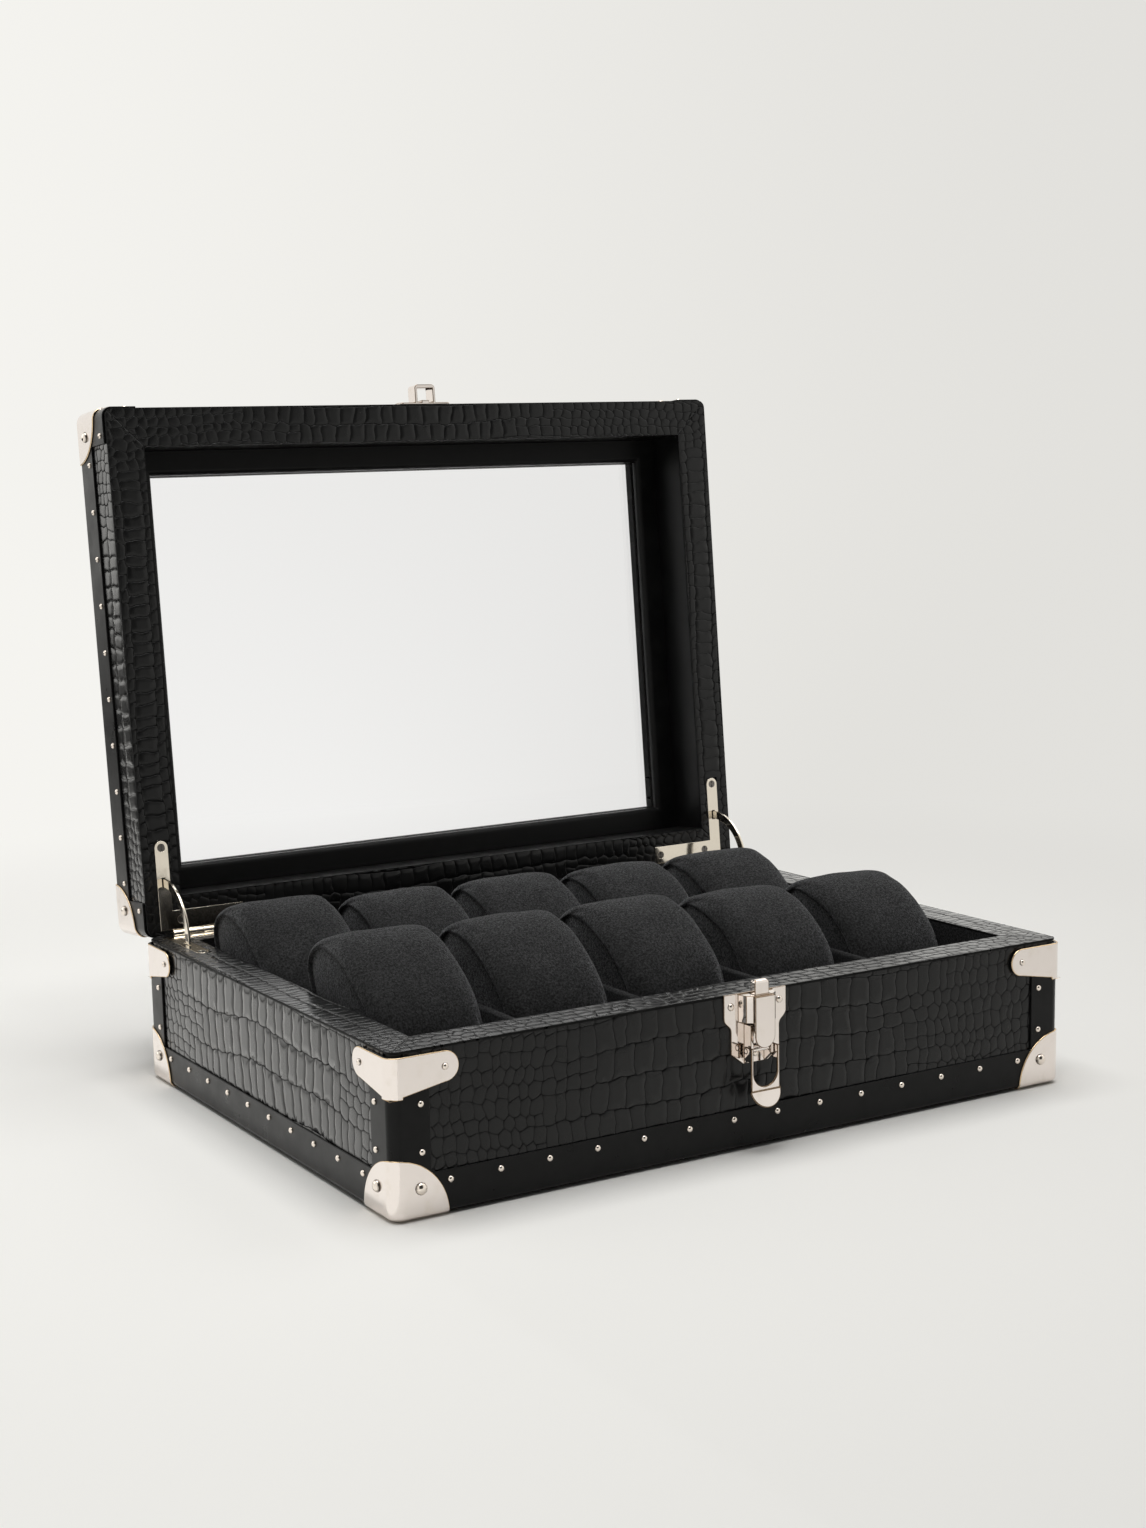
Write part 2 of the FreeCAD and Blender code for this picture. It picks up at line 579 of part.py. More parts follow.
def clip_side(half_along, half_across, along_x, sx, sy):
    """The block that one leg of a corner clip is cut from, on a long or a short face."""
    top = value(STRIP_TOP)
    reach = half_along - size["clip_reach"]
    middle = half_along - size["clip_reach"] + size["clip_end_round"]
    outline = [
        (half_along + size["corner_metal"], top),
        (middle, top),
        (reach, top - size["clip_end_round"]),
        (middle, top - 2 * size["clip_end_round"]),
        (half_along, top - size["clip_height"]),
        (half_along + size["corner_metal"], top - size["clip_height"]),
    ]

    def place(point):
        along, z = point
        if along_x:
            return FreeCAD.Vector(sx * along, sy * half_across, z)
        return FreeCAD.Vector(sx * half_across, sy * along, z)

    corners = [place(point) for point in outline]
    edges = [
        Part.makeLine(corners[0], corners[1]),
        Part.Arc(corners[1], corners[2], corners[3]).toShape(),
        Part.makeLine(corners[3], corners[4]),
        Part.makeLine(corners[4], corners[5]),
        Part.makeLine(corners[5], corners[0]),
    ]
    face = Part.Face(Part.Wire(edges))
    outward = FreeCAD.Vector(0, sy, 0) if along_x else FreeCAD.Vector(sx, 0, 0)
    inward = size["corner_round"] + size["binding"] + size["corner_metal"]
    face.translate(outward * -inward)
    return face.extrude(outward * (inward + size["corner_metal"]))


doc.recompute()
half_wide = value(BINDING_WIDE) / 2
half_deep = value(BINDING_DEEP) / 2
clips = []
for sx, sy in CORNERS:
    long_leg = clip_side(half_wide, half_deep, True, sx, sy)
    short_leg = clip_side(half_deep, half_wide, False, sx, sy)
    clips.append(metal.Shape.common(long_leg.fuse(short_leg)))
feature("base_clips", Part.makeCompound([solid for clip in clips for solid in clip.Solids]))


# Round-headed nails and rivets.
def heads(kind, places):
    """Heads of one kind at (point, outward) places, as one group."""
    radius = size[kind + "_radius"]
    rise = size[kind + "_rise"]
    return Part.makeCompound([dome(radius, rise, at, outward) for at, outward in places])


def round_faces(inset, level, proud):
    """Two places at each upright corner, one on each face, at a level."""
    places = []
    for sx, sy in CORNERS:
        front = FreeCAD.Vector(sx * (half_wide - inset), sy * (half_deep + proud), level)
        side = FreeCAD.Vector(sx * (half_wide + proud), sy * (half_deep - inset), level)
        places += [(front, FreeCAD.Vector(0, sy, 0)), (side, FreeCAD.Vector(sx, 0, 0))]
    return places


def edge_rows(level):
    """The rows of nails along the four bindings at a level."""
    places = []
    for sign in (-1, 1):
        for x in spread(size["front_nails"], half_wide - size["nail_end"]):
            places.append((FreeCAD.Vector(x, sign * half_deep, level), FreeCAD.Vector(0, sign, 0)))
        for y in spread(size["side_nails"], half_deep - size["nail_end"]):
            places.append((FreeCAD.Vector(sign * half_wide, y, level), FreeCAD.Vector(sign, 0, 0)))
    return places


strip_inset = size["binding_width"] - size["nail_edge"]
clip_inset = size["clip_reach"] - size["clip_end_round"]
base_nails = edge_rows(value(BINDING_TOP) - size["nail_edge"])
for level in (f"{BINDING_TOP} + strip_nail_low", f"{STRIP_TOP} - clip_height - strip_nail_high"):
    base_nails += round_faces(strip_inset, value(level), 0)
base_nails += round_faces(clip_inset, value(STRIP_TOP) - size["clip_end_round"], size["corner_metal"])
feature("base_nails", heads("nail", base_nails))
lid_nails = edge_rows(value(LID_BINDING_LOW) + size["nail_edge"])
lid_nails += round_faces(strip_inset, value(LID_RIM) + size["lid_strip_nail"], 0)
feature("lid_nails", heads("nail", lid_nails), lid=True)
rivet_level = size["corner_metal"] + size["rivet_inset"]
base_rivets = round_faces(size["rivet_inset"], rivet_level, size["corner_metal"])
feature("base_cap_rivets", heads("rivet", base_rivets))
lid_edge = value(LID_BINDING_TOP)
lid_rivets = round_faces(size["rivet_inset"], lid_edge - size["rivet_inset"], size["corner_metal"])
for sx, sy in CORNERS:
    x = sx * (half_wide - size["rivet_inset"])
    y = sy * (half_deep - size["rivet_inset"])
    lid_rivets.append((FreeCAD.Vector(x, y, lid_edge + size["corner_metal"]), FreeCAD.Vector(0, 0, 1)))
feature("lid_cap_rivets", heads("rivet", lid_rivets), lid=True)


# Lining, dividers and the rests under the cushions.
keep(slab("base_floor_lining", WELL_WIDTH, WELL_DEPTH, WELL_FLOOR, FLOOR_TOP), "base_floor_lining")
for label, low, high, lid in (
    ("base_wall_lining", FLOOR_TOP, BASE_TOP, False),
    ("lid_lining", LID_WOOD_LOW, GLASS_UNDER, True),
):
    outline = slab(label + "_outline", WELL_WIDTH, WELL_DEPTH, low, high)
    window = slab(label + "_window", INNER_WIDTH, INNER_DEPTH, low, high)
    keep(cut(label, outline, [window]), label, lid)

lap = f"({FLOOR_TOP} + {DIVIDER_TALL} / 2)"
slot = "(divider + 2 * lap_clearance)"
long_board = slab("long_divider_board", INNER_WIDTH, "divider", FLOOR_TOP, DIVIDER_TOP)
laps = []
crosses = []
for cell in CELLS[1:]:
    x = f"({cell} * {CELL_PITCH} - ({INNER_WIDTH} + divider) / 2)"
    laps.append(slab(f"long_divider_lap_{cell}", slot, "divider", f"{lap} - lap_clearance", DIVIDER_TOP, x))
    cross = slab(f"cross_divider_board_{cell}", "divider", INNER_DEPTH, FLOOR_TOP, DIVIDER_TOP, x)
    mouth = slab(f"cross_divider_lap_{cell}", "divider", slot, FLOOR_TOP, lap, x)
    crosses.append(cut(f"cross_divider_{cell}", cross, [mouth]))
keep(cut("long_divider", long_board, laps), "long_divider")
keep(group("cross_dividers", crosses), "cross_dividers")

rests = []
for row in ROWS:
    back = "(0 - divider / 2)" if row == "front" else f"({INNER_DEPTH} / 2)"
    run = f"(({REST_TOP} - {FLOOR_TOP} - rest_lip) / tan(cushion_tilt))"
    for cell in CELLS:
        rest = doc.addObject("Part::Wedge", f"rest_{row}_{cell + 1}")
        x = f"(({cell} + 0.5) * {CELL_PITCH} - ({INNER_WIDTH} + divider) / 2)"
        for prop, formula in (
            ("Xmin", f"{x} - {CELL_WIDTH} / 2"),
            ("X2min", f"{x} - {CELL_WIDTH} / 2"),
            ("Xmax", f"{x} + {CELL_WIDTH} / 2"),
            ("X2max", f"{x} + {CELL_WIDTH} / 2"),
            ("Ymin", f"{back} - {run}"),
            ("Ymax", back),
            ("Zmin", FLOOR_TOP),
            ("Z2min", FLOOR_TOP),
            ("Zmax", f"{FLOOR_TOP} + rest_lip"),
            ("Z2max", REST_TOP),
        ):
            bind(rest, prop, formula)
        rests.append(rest)
keep(group("cushion_rests", rests), "cushion_rests")


# Cushions: padded rolls with an oval section, a crown and drawn-in ends.
def oval(x, draw):
    """The oval section at x, drawn in by some millimetres: two nose arcs and two flat arcs."""
    a = size["cushion_length"] / 2 - draw
    b = size["cushion_thick"] / 2 - draw
    nose = size["cushion_nose"] - draw
    flat = ((a - nose) ** 2 + b * b - nose * nose) / (2 * (b - nose))
    lean = math.atan2(flat - b, a - nose)
    ty = a - nose + nose * math.cos(lean)
    tz = nose * math.sin(lean)
    tilt = math.radians(size["cushion_tilt"])

    def at(y, z):
        return FreeCAD.Vector(
            x, y * math.cos(tilt) - z * math.sin(tilt), y * math.sin(tilt) + z * math.cos(tilt)
        )

    arcs = [
        Part.Arc(at(ty, -tz), at(a, 0), at(ty, tz)),
        Part.Arc(at(ty, tz), at(0, b), at(-ty, tz)),
        Part.Arc(at(-ty, tz), at(-a, 0), at(-ty, -tz)),
        Part.Arc(at(-ty, -tz), at(0, -b), at(ty, -tz)),
    ]
    return Part.Wire([arc.toShape() for arc in arcs])


half_cushion = size["cushion_width"] / 2
shoulder = half_cushion - size["cushion_shoulder"]
tuck = half_cushion - size["cushion_tuck"]
ends = [
    (half_cushion, size["cushion_end_draw"]),
    (tuck, size["cushion_tuck_draw"]),
    (shoulder, size["cushion_crown"]),
]
sections = [oval(-x, draw) for x, draw in ends] + [oval(0, 0)] + [oval(x, draw) for x, draw in ends[::-1]]
tilt = math.radians(size["cushion_tilt"])
stand = size["cushion_thick"] / 2 + size["cushion_gap"]
for row in ROWS:
    back = -size["divider"] / 2 if row == "front" else value(INNER_DEPTH) / 2
    seat = size[f"{row}_seat"]
    y = back - seat * math.cos(tilt) - stand * math.sin(tilt)
    z = value(REST_TOP) - seat * math.sin(tilt) + stand * math.cos(tilt)
    for cell in CELLS:
        made = feature(f"cushion_{row}_{cell + 1}", Part.makeLoft(sections, True, True))
        x = (cell + 0.5) * value(CELL_PITCH) - (value(INNER_WIDTH) + size["divider"]) / 2
        made.Placement = FreeCAD.Placement(FreeCAD.Vector(x, y, z), FreeCAD.Rotation())


# Glass and its bead.
glass_wide = f"({WELL_WIDTH} - 2 * glass_clearance)"
glass_deep = f"({WELL_DEPTH} - 2 * glass_clearance)"
glass_sheet = slab("glass_sheet", glass_wide, glass_deep, GLASS_UNDER, GLASS_TOP)
keep(group("glass_pane", [glass_sheet]), "glass_pane", lid=True)
bead_low = f"({GLASS_UNDER} - bead_height)"
bead_block = slab("glass_bead_block", INNER_WIDTH, INNER_DEPTH, bead_low, GLASS_UNDER)
bead_window = slab("glass_bead_window", SIGHT_WIDTH, SIGHT_DEPTH, bead_low, GLASS_UNDER)
bead_ring = cut("glass_bead_ring", bead_block, [bead_window])
doc.recompute()
bead_level = at_level(value(bead_low))
sight_half = value(SIGHT_WIDTH) / 2 + 0.5 * size["sight_border"]
bead_round = rounded(
    "glass_bead_round",
    bead_ring,
    size["bead_round"],
    lambda edge: bead_level(edge) and edge.BoundBox.XMax < sight_half and edge.BoundBox.XMin > -sight_half,
)
keep(group("glass_bead", [bead_round]), "glass_bead", lid=True)


# Quadrant hinges: two leaves, a pin and a curved stay arm on each side.
def hinge_leaf(label, sign, lid):
    """One leaf with its knuckles, screw holes and the slot that the stay arm runs in."""
    low = LID_RIM if lid else "(base_height - leaf)"
    high = f"({LID_RIM} + leaf)" if lid else "base_height"
    leg_end = f"({HINGE_Y} - leaf_reach + leaf_leg_width / 2)"
    leg_deep, leg_y = span(leg_end, LEAF_BACK)
    leg_x = f"{sign} * {LEG_X}"
    back_x = f"{sign} * ({LEAF_EDGE} - leaf_back_length / 2)"
    pieces = [
        slab(label + "_leg", "leaf_leg_width", leg_deep, low, high, leg_x, leg_y),
        cylinder(label + "_end", "leaf_leg_width / 2", "leaf", (leg_x, leg_end, low)),
        slab(
            label + "_back",
            "leaf_back_length",
            "leaf_back_width",
            low,
            high,
            back_x,
            f"{LEAF_BACK} - leaf_back_width / 2",
        ),
    ]
    outer = "((barrel_length - lid_knuckle) / 2 - knuckle_gap)"
    side = f"(barrel_length / 2 - {outer} / 2)"
    knuckles = [("0", "lid_knuckle")] if lid else [(f"(0 - {side})", outer), (side, outer)]
    tab_deep, tab_y = span(f"{LEAF_BACK} - leaf", HINGE_Y)
    for i, (offset, length) in enumerate(knuckles, start=1):
        x = f"({sign} * {BARREL_X} + {offset})"
        start = (f"{x} - {length} / 2", HINGE_Y, HINGE_Z)
        pieces.append(cylinder(f"{label}_knuckle_{i}", "barrel_radius", length, start, ALONG_X))
        pieces.append(slab(f"{label}_tab_{i}", length, tab_deep, low, high, x, tab_y))
    start = (f"{sign} * {BARREL_X} - barrel_length / 2", HINGE_Y, HINGE_Z)
    bore = cylinder(label + "_bore", "hinge_pin_radius + pin_clearance", "barrel_length", start, ALONG_X)
    slot_wide = "(arm_thick + 2 * slot_clearance)"
    slot_deep = "(arm_width + 2 * slot_clearance)"
    slot = slab(label + "_slot", slot_wide, slot_deep, low, high, leg_x, f"{HINGE_Y} - arm_radius")
    holes = [bore, slot]
    hole = "hinge_screw_radius + screw_clearance"
    for i, (x, y) in enumerate(SCREW_PLACES[sign], start=1):
        holes.append(cylinder(f"{label}_hole_{i}", hole, "leaf", (x, y, low)))
    keep(cut(label, fuse(label + "_blank", pieces), holes), label, lid)


def screw_head(x, y, low, slotted):
    """A flush screw head with a cross slot in the face at the level slotted."""
    head = Part.makeCylinder(size["hinge_screw_radius"], size["leaf"], FreeCAD.Vector(x, y, low))
    across = 2 * size["hinge_screw_radius"]
    half = size["screw_slot"] / 2
    floor = min(slotted, low + size["leaf"] - size["screw_slot_deep"])
    for long, wide in ((across, half * 2), (half * 2, across)):
        corner = FreeCAD.Vector(x - long / 2, y - wide / 2, floor)
        head = head.cut(Part.makeBox(long, wide, size["screw_slot_deep"], corner))
    return head


SCREW_PLACES = {
    sign: [
        (f"{sign} * {LEG_X}", f"{HINGE_Y} - leaf_reach + leaf_screw_end"),
        (
            f"{sign} * ({LEAF_EDGE} - leaf_back_length + leaf_screw_end)",
            f"{LEAF_BACK} - leaf_back_width / 2",
        ),
        (f"{sign} * ({LEAF_EDGE} - leaf_screw_corner)", f"{LEAF_BACK} - leaf_back_width / 2"),
    ]
    for name, sign in SIDES
}
for name, sign in SIDES:
    hinge_leaf(f"hinge_base_leaf_{name}", sign, lid=False)
    hinge_leaf(f"hinge_lid_leaf_{name}", sign, lid=True)
    start = (f"{sign} * {BARREL_X} - barrel_length / 2", HINGE_Y, HINGE_Z)
    pin = cylinder(f"hinge_pin_{name}", "hinge_pin_radius", "barrel_length", start, ALONG_X)
    keep(pin, f"hinge_pin_{name}")
    begin = math.radians(180 - size["lid_open_angle"] - size["arm_overlap"])
    first = FreeCAD.Vector(0, math.cos(begin), math.sin(begin))
    second = FreeCAD.Vector(0, -math.sin(begin), math.cos(begin))
    turn = FreeCAD.Rotation(first, second, FreeCAD.Vector(1, 0, 0), "ZXY")
    start = (f"{sign} * {LEG_X} - arm_thick / 2", HINGE_Y, HINGE_Z)
    sector = cylinder(f"stay_arm_{name}_outer", ARM_OUTER, "arm_thick", start, turn)
    bind(sector, "Angle", "lid_open_angle + 2 * arm_overlap")
    hollow = cylinder(f"stay_arm_{name}_inner", ARM_INNER, "arm_thick", start, turn)
    keep(cut(f"stay_arm_{name}", sector, [hollow]), f"stay_arm_{name}")

places = [(value(x), value(y)) for name, sign in SIDES for x, y in SCREW_PLACES[sign]]
leaf_low = size["base_height"] - size["leaf"]
heads_base = [screw_head(x, y, leaf_low, size["base_height"]) for x, y in places]
feature("hinge_base_screws", Part.makeCompound(heads_base))
lid_rim = value(LID_RIM)
heads_lid = [screw_head(x, y, lid_rim, lid_rim) for x, y in places]
feature("hinge_lid_screws", Part.makeCompound(heads_lid), lid=True)


# Latch: plate with a housing and two lugs, sprung tongue, lever and its pivot.
def upright_face(points, curves, y):
    """A face in the plane at y from (x, z) points; curves gives an edge for a point's index."""
    corners = [FreeCAD.Vector(x, y, z) for x, z in points]
    edges = []
    for i, corner in enumerate(corners):
        following = corners[(i + 1) % len(corners)]
        if i in curves:
            curve = Part.BezierCurve()
            curve.setPoles([corner, *[FreeCAD.Vector(x, y, z) for x, z in curves[i]], following])
            edges.append(curve.toShape())
        else:
            edges.append(Part.makeLine(corner, following))
    return Part.Face(Part.Wire(edges))


def latch_plate():
    """The latch's back plate in one piece with the tongue housing and the lever lugs."""
    rim = size["base_height"]
    front = value(LATCH_FRONT)
    wing = size["latch_wing_width"] / 2
    waist = size["latch_waist_width"] / 2
    tail = size["latch_tail_width"] / 2
    low_wing = rim - size["latch_wing_drop"]
    high_waist = rim - size["latch_waist_drop"]
    bend = (low_wing + high_waist) / 2
    outline = [
        (-wing, rim),
        (wing, rim),
        (wing, low_wing),
        (waist, high_waist),
        (waist, rim - size["latch_tail_drop"]),
        (tail, rim - size["latch_drop"]),
        (-tail, rim - size["latch_drop"]),
        (-waist, rim - size["latch_tail_drop"]),
        (-waist, high_waist),
        (-wing, low_wing),
    ]
    curves = {2: [(wing, bend), (waist, bend)], 8: [(-waist, bend), (-wing, bend)]}
    plate = upright_face(outline, curves, front).extrude(FreeCAD.Vector(0, size["latch_sheet"], 0))
    profile = [
        (-size["housing_width"] / 2, 0),
        (-size["housing_ridge_width"] / 2, size["housing_ridge_rise"]),
        (-size["housing_front_width"] / 2, size["housing_rise"]),
        (size["housing_front_width"] / 2, size["housing_rise"]),
        (size["housing_ridge_width"] / 2, size["housing_ridge_rise"]),
        (size["housing_width"] / 2, 0),
    ]
    low = rim - size["housing_drop"]
    corners = [FreeCAD.Vector(x, front - rise, low) for x, rise in profile]
    tall = size["housing_drop"] - size["housing_top_drop"]
    housing = Part.Face(Part.makePolygon(corners + corners[:1])).extrude(FreeCAD.Vector(0, 0, tall))
    run_wide = size["bolt_width"] + 2 * size["tongue_gap"]
    run_deep = size["bolt_offset"] + size["bolt_thick"] + size["tongue_gap"]
    run = Part.makeBox(run_wide, run_deep, tall, FreeCAD.Vector(-run_wide / 2, front - run_deep, low))
    shape = plate.fuse(housing.cut(run))
    lug_top = rim - size["lug_top_drop"]
    lug_low = rim - size["latch_drop"]
    for sign in (-1, 1):
        x = sign * (size["lug_gap"] / 2 + size["lug"] / 2) - size["lug"] / 2
        side = [
            FreeCAD.Vector(x, front, lug_low),
            FreeCAD.Vector(x, front, lug_top),
            FreeCAD.Vector(x, front - size["lug_rise"], lug_top),
            FreeCAD.Vector(x, front - size["lug_rise"], lug_low + size["lug_slope"]),
        ]
        lug = Part.Face(Part.makePolygon(side + side[:1])).extrude(FreeCAD.Vector(size["lug"], 0, 0))
        shape = shape.fuse(lug)
    return shape.cut(pivot_cylinder(size["pivot_radius"] + size["pin_clearance"])).removeSplitter()


def pivot_cylinder(radius):
    """A cylinder along the lever's pivot, as wide as the lever."""
    y = value(LATCH_FRONT) - size["pivot_rise"]
    z = size["base_height"] - size["pivot_drop"]
    start = FreeCAD.Vector(-size["lever_width"] / 2, y, z)
    return Part.makeCylinder(radius, size["lever_width"], start, FreeCAD.Vector(1, 0, 0))


def latch_lever():
    """The lever: ears on the pivot, a plate with a round-ended opening and a bent finger tab."""
    rim = size["base_height"]
    back = value(LATCH_FRONT) - size["lever_rise"]
    sheet_thick = size["lever_sheet"]
    half = size["lever_width"] / 2
    pivot = FreeCAD.Vector(0, value(LATCH_FRONT) - size["pivot_rise"], rim - size["pivot_drop"])
    bend = rim - size["lever_bend_drop"]
    top = pivot.z + size["lever_ear_up"]
    corner = FreeCAD.Vector(-half, back - sheet_thick, bend)
    plate = Part.makeBox(size["lever_width"], sheet_thick, top - bend, corner)
    eye = size["lever_eye_width"] / 2
    eye_low = rim - size["lever_eye_drop"] + eye
    corner = FreeCAD.Vector(-eye, back - sheet_thick, eye_low)
    plate = plate.cut(Part.makeBox(2 * eye, sheet_thick, top - eye_low, corner))
    start = FreeCAD.Vector(0, back - sheet_thick, eye_low)
    plate = plate.cut(Part.makeCylinder(eye, sheet_thick, start, FreeCAD.Vector(0, 1, 0)))
    ear_low = rim - size["lever_top_drop"]
    ear_back = pivot.y + size["lever_ear_back"]
    for x in (-half, half - sheet_thick):
        corner = FreeCAD.Vector(x, back - sheet_thick, ear_low)
        plate = plate.fuse(Part.makeBox(sheet_thick, ear_back - back + sheet_thick, top - ear_low, corner))
    radius = size["lever_tab"]
    start = FreeCAD.Vector(0, back - sheet_thick, bend)
    tab = Part.makeCylinder(radius, sheet_thick, start, FreeCAD.Vector(0, 1, 0))
    below = FreeCAD.Vector(-radius, back - sheet_thick, bend - radius)
    tab = tab.common(Part.makeBox(2 * radius, sheet_thick, radius, below))
    tab.rotate(FreeCAD.Vector(0, back, bend), FreeCAD.Vector(1, 0, 0), -size["lever_tab_angle"])
    shape = plate.fuse(tab).cut(pivot_cylinder(size["pivot_radius"] + size["pin_clearance"]))
    return shape.removeSplitter()


feature("latch_plate", latch_plate())
feature("latch_lever", latch_lever())
feature("lever_pivot", pivot_cylinder(size["pivot_radius"]))

bolt_y = f"{LATCH_FRONT} - bolt_offset - bolt_thick / 2"
bolt_low = "(base_height - bolt_tail_drop)"
bolt_top = "(base_height + bolt_rise)"
bolt_block = slab("tongue_bolt_block", "bolt_width", "bolt_thick", bolt_low, bolt_top, "0", bolt_y)
doc.recompute()
bolt = rounded("tongue_bolt", bolt_block, size["bolt_round"], at_level(value(bolt_top)))
bar_y = f"{BAR_BACK} - tongue_bar / 2"
bar_low = "(base_height - tongue_drop + tongue_width / 2)"
bar_top = "(base_height - tongue_top_drop)"
bar = slab("tongue_bar_block", "tongue_width", "tongue_bar", bar_low, bar_top, "0", bar_y)
bar_start = ("0", f"{BAR_BACK} - tongue_bar", bar_low)
bar_end = cylinder("tongue_end", "tongue_width / 2", "tongue_bar", bar_start, ALONG_Y)
web_deep, web_y = span(BAR_BACK, f"{LATCH_FRONT} - bolt_offset - bolt_thick")
web_top = "(base_height - housing_drop - tongue_gap)"
web = slab("tongue_web", "bolt_width", web_deep, bolt_low, web_top, "0", web_y)
keep(fuse("latch_tongue", [bolt, bar, bar_end, web]), "latch_tongue")

outward = FreeCAD.Vector(0, -1, 0)
wing_x = size["latch_wing_width"] / 2 - size["latch_rivet_edge"]
latch_heads = [(x, size["base_height"] - size["latch_rivet_drop"]) for x in (-wing_x, wing_x)]
latch_heads.append((0, size["base_height"] - size["tail_rivet_drop"]))
front = value(LATCH_FRONT)
latch_places = [(FreeCAD.Vector(x, front, z), outward) for x, z in latch_heads]
feature("latch_rivets", heads("small_rivet", latch_places))


# Keeper: a plate on the lid's front with a loop that the tongue's bolt enters.
keeper_low = f"({LID_RIM} + keeper_lift)"
keeper_top = f"({keeper_low} + keeper_height)"
keeper_front = "(0 - box_depth / 2 - keeper_sheet)"
plate_y = f"{keeper_front} + keeper_sheet / 2"
plate_block = slab("keeper_block", "keeper_width", "keeper_sheet", keeper_low, keeper_top, "0", plate_y)
keeper_plate = rounded("keeper_plate", plate_block, size["keeper_round"], runs_along("Y"))
loop_top = f"({keeper_low} + loop_height)"
loop_y = f"{keeper_front} - loop_rise / 2"
loop_block = slab("keeper_loop_block", "loop_width", "loop_rise", keeper_low, loop_top, "0", loop_y)
loop_edges = runs_along("Z")
loop_front = value(keeper_front) - size["loop_rise"] / 2
loop_out = rounded(
    "keeper_loop",
    loop_block,
    size["keeper_round"],
    lambda edge: loop_edges(edge) and edge.BoundBox.YMax < loop_front,
)
eye_wide = "(loop_width - 2 * loop_wall)"
eye_deep = "(loop_rise - loop_front)"
eye = slab("keeper_eye", eye_wide, eye_deep, keeper_low, loop_top, "0", f"{keeper_front} - {eye_deep} / 2")
catch_y = f"{keeper_front} - catch_rise / 2"
catch = slab("keeper_catch", "catch_width", "catch_rise", keeper_low, loop_top, "0", catch_y)
keeper = fuse("keeper", [keeper_plate, cut("keeper_hoop", loop_out, [eye]), catch])
keep(keeper, "keeper", lid=True)
rivet_x = size["keeper_width"] / 2 - size["keeper_rivet_edge"]
rivet_z = value(keeper_top) - size["keeper_rivet_edge"]
keeper_heads = [(FreeCAD.Vector(x, value(keeper_front), rivet_z), outward) for x in (-rivet_x, rivet_x)]
feature("keeper_rivets", heads("small_rivet", keeper_heads), lid=True)

# Every object has to be sound before any file is written.
doc.recompute()
for made in doc.Objects:
    if "Invalid" in made.State or "Error" in made.State:
        raise RuntimeError(f"{made.Name}: {made.State}")
for made in parts:
    if made.Shape.isNull() or not made.Shape.isValid() or not made.Shape.Solids:
        raise RuntimeError(f"{made.Label}: bad shape")
os.makedirs("parts", exist_ok=True)
for made in parts:
    made.Shape.exportStep(f"parts/{made.Label}.step")
    bounds = made.Shape.BoundBox
    print(f"{made.Label}: {len(made.Shape.Solids)} solids, {made.Shape.Volume:.0f} mm3, z {bounds.ZMin:.1f}")
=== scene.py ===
"""Looks of the leather watch box.

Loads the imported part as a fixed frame, dresses it in embossed leather, suede, plated metal and
glass, and sets it in a pale studio seen from the photograph's camera.
"""

import json
import logging
import math
from dataclasses import dataclass, field, replace
from enum import Enum

import bmesh
import bpy
import numpy as np
from mathutils import Matrix, Vector

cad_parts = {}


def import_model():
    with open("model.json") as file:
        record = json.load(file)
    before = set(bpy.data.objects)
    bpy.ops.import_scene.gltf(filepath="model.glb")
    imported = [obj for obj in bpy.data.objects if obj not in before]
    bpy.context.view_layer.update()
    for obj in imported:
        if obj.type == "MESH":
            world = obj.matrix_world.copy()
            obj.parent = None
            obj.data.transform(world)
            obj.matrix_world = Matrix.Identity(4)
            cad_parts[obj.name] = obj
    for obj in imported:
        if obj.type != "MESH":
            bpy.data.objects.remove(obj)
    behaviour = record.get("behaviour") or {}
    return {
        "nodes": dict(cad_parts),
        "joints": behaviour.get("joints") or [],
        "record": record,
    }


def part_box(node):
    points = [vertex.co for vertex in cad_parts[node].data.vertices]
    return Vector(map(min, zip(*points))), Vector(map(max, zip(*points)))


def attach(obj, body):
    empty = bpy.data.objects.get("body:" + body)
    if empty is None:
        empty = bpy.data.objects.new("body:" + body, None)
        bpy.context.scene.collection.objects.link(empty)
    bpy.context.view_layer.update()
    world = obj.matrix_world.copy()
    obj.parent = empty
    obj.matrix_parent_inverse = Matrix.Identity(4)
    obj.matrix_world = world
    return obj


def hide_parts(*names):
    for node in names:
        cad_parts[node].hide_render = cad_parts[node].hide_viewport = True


LOG = logging.getLogger("watch_box")
MM = 0.001
UP = Vector((0.0, 0.0, 1.0))
HALVES = ("base", "lid")
HANDS = ("left", "right")

# Points closer than this are one, and divisors are at least the second value.
WELD = 2e-6
TINY = 1e-9

# The range that noise mostly stays in.
NOISE = (0.3, 0.7)

# Digits kept of creases' levels and of points' places, where these are looked up.
LEVEL_DIGITS = 9
PLACE_DIGITS = 7

# Steps between the seeds of a sheet's layout and its tones, and between the sheets of one piece.
TONE_SEED = 100
SHEET_SEED = 20

# Crease points this close to a sheet's outline lie on it.
ON_EDGE = 0.01 * MM

# A scale's least half width, the least share of it that a ring keeps, the most share of the way to
# the crease that a ring reaches, and how well sides' normals agree that count as one side.
LEAST_WIDTH = 0.1 * MM
LEAST_ROOM = 0.3
MOST_REACH = 0.96
PARALLEL = 0.97

# Leather edges that fold by more than this are sharp.
FOLD_ANGLE = math.radians(70.0)

# How far round a window faces are cut, and how close to the cut a point lies on it.
WINDOW_MARGIN = 12.0 * MM
ON_PLANE = 1e-7

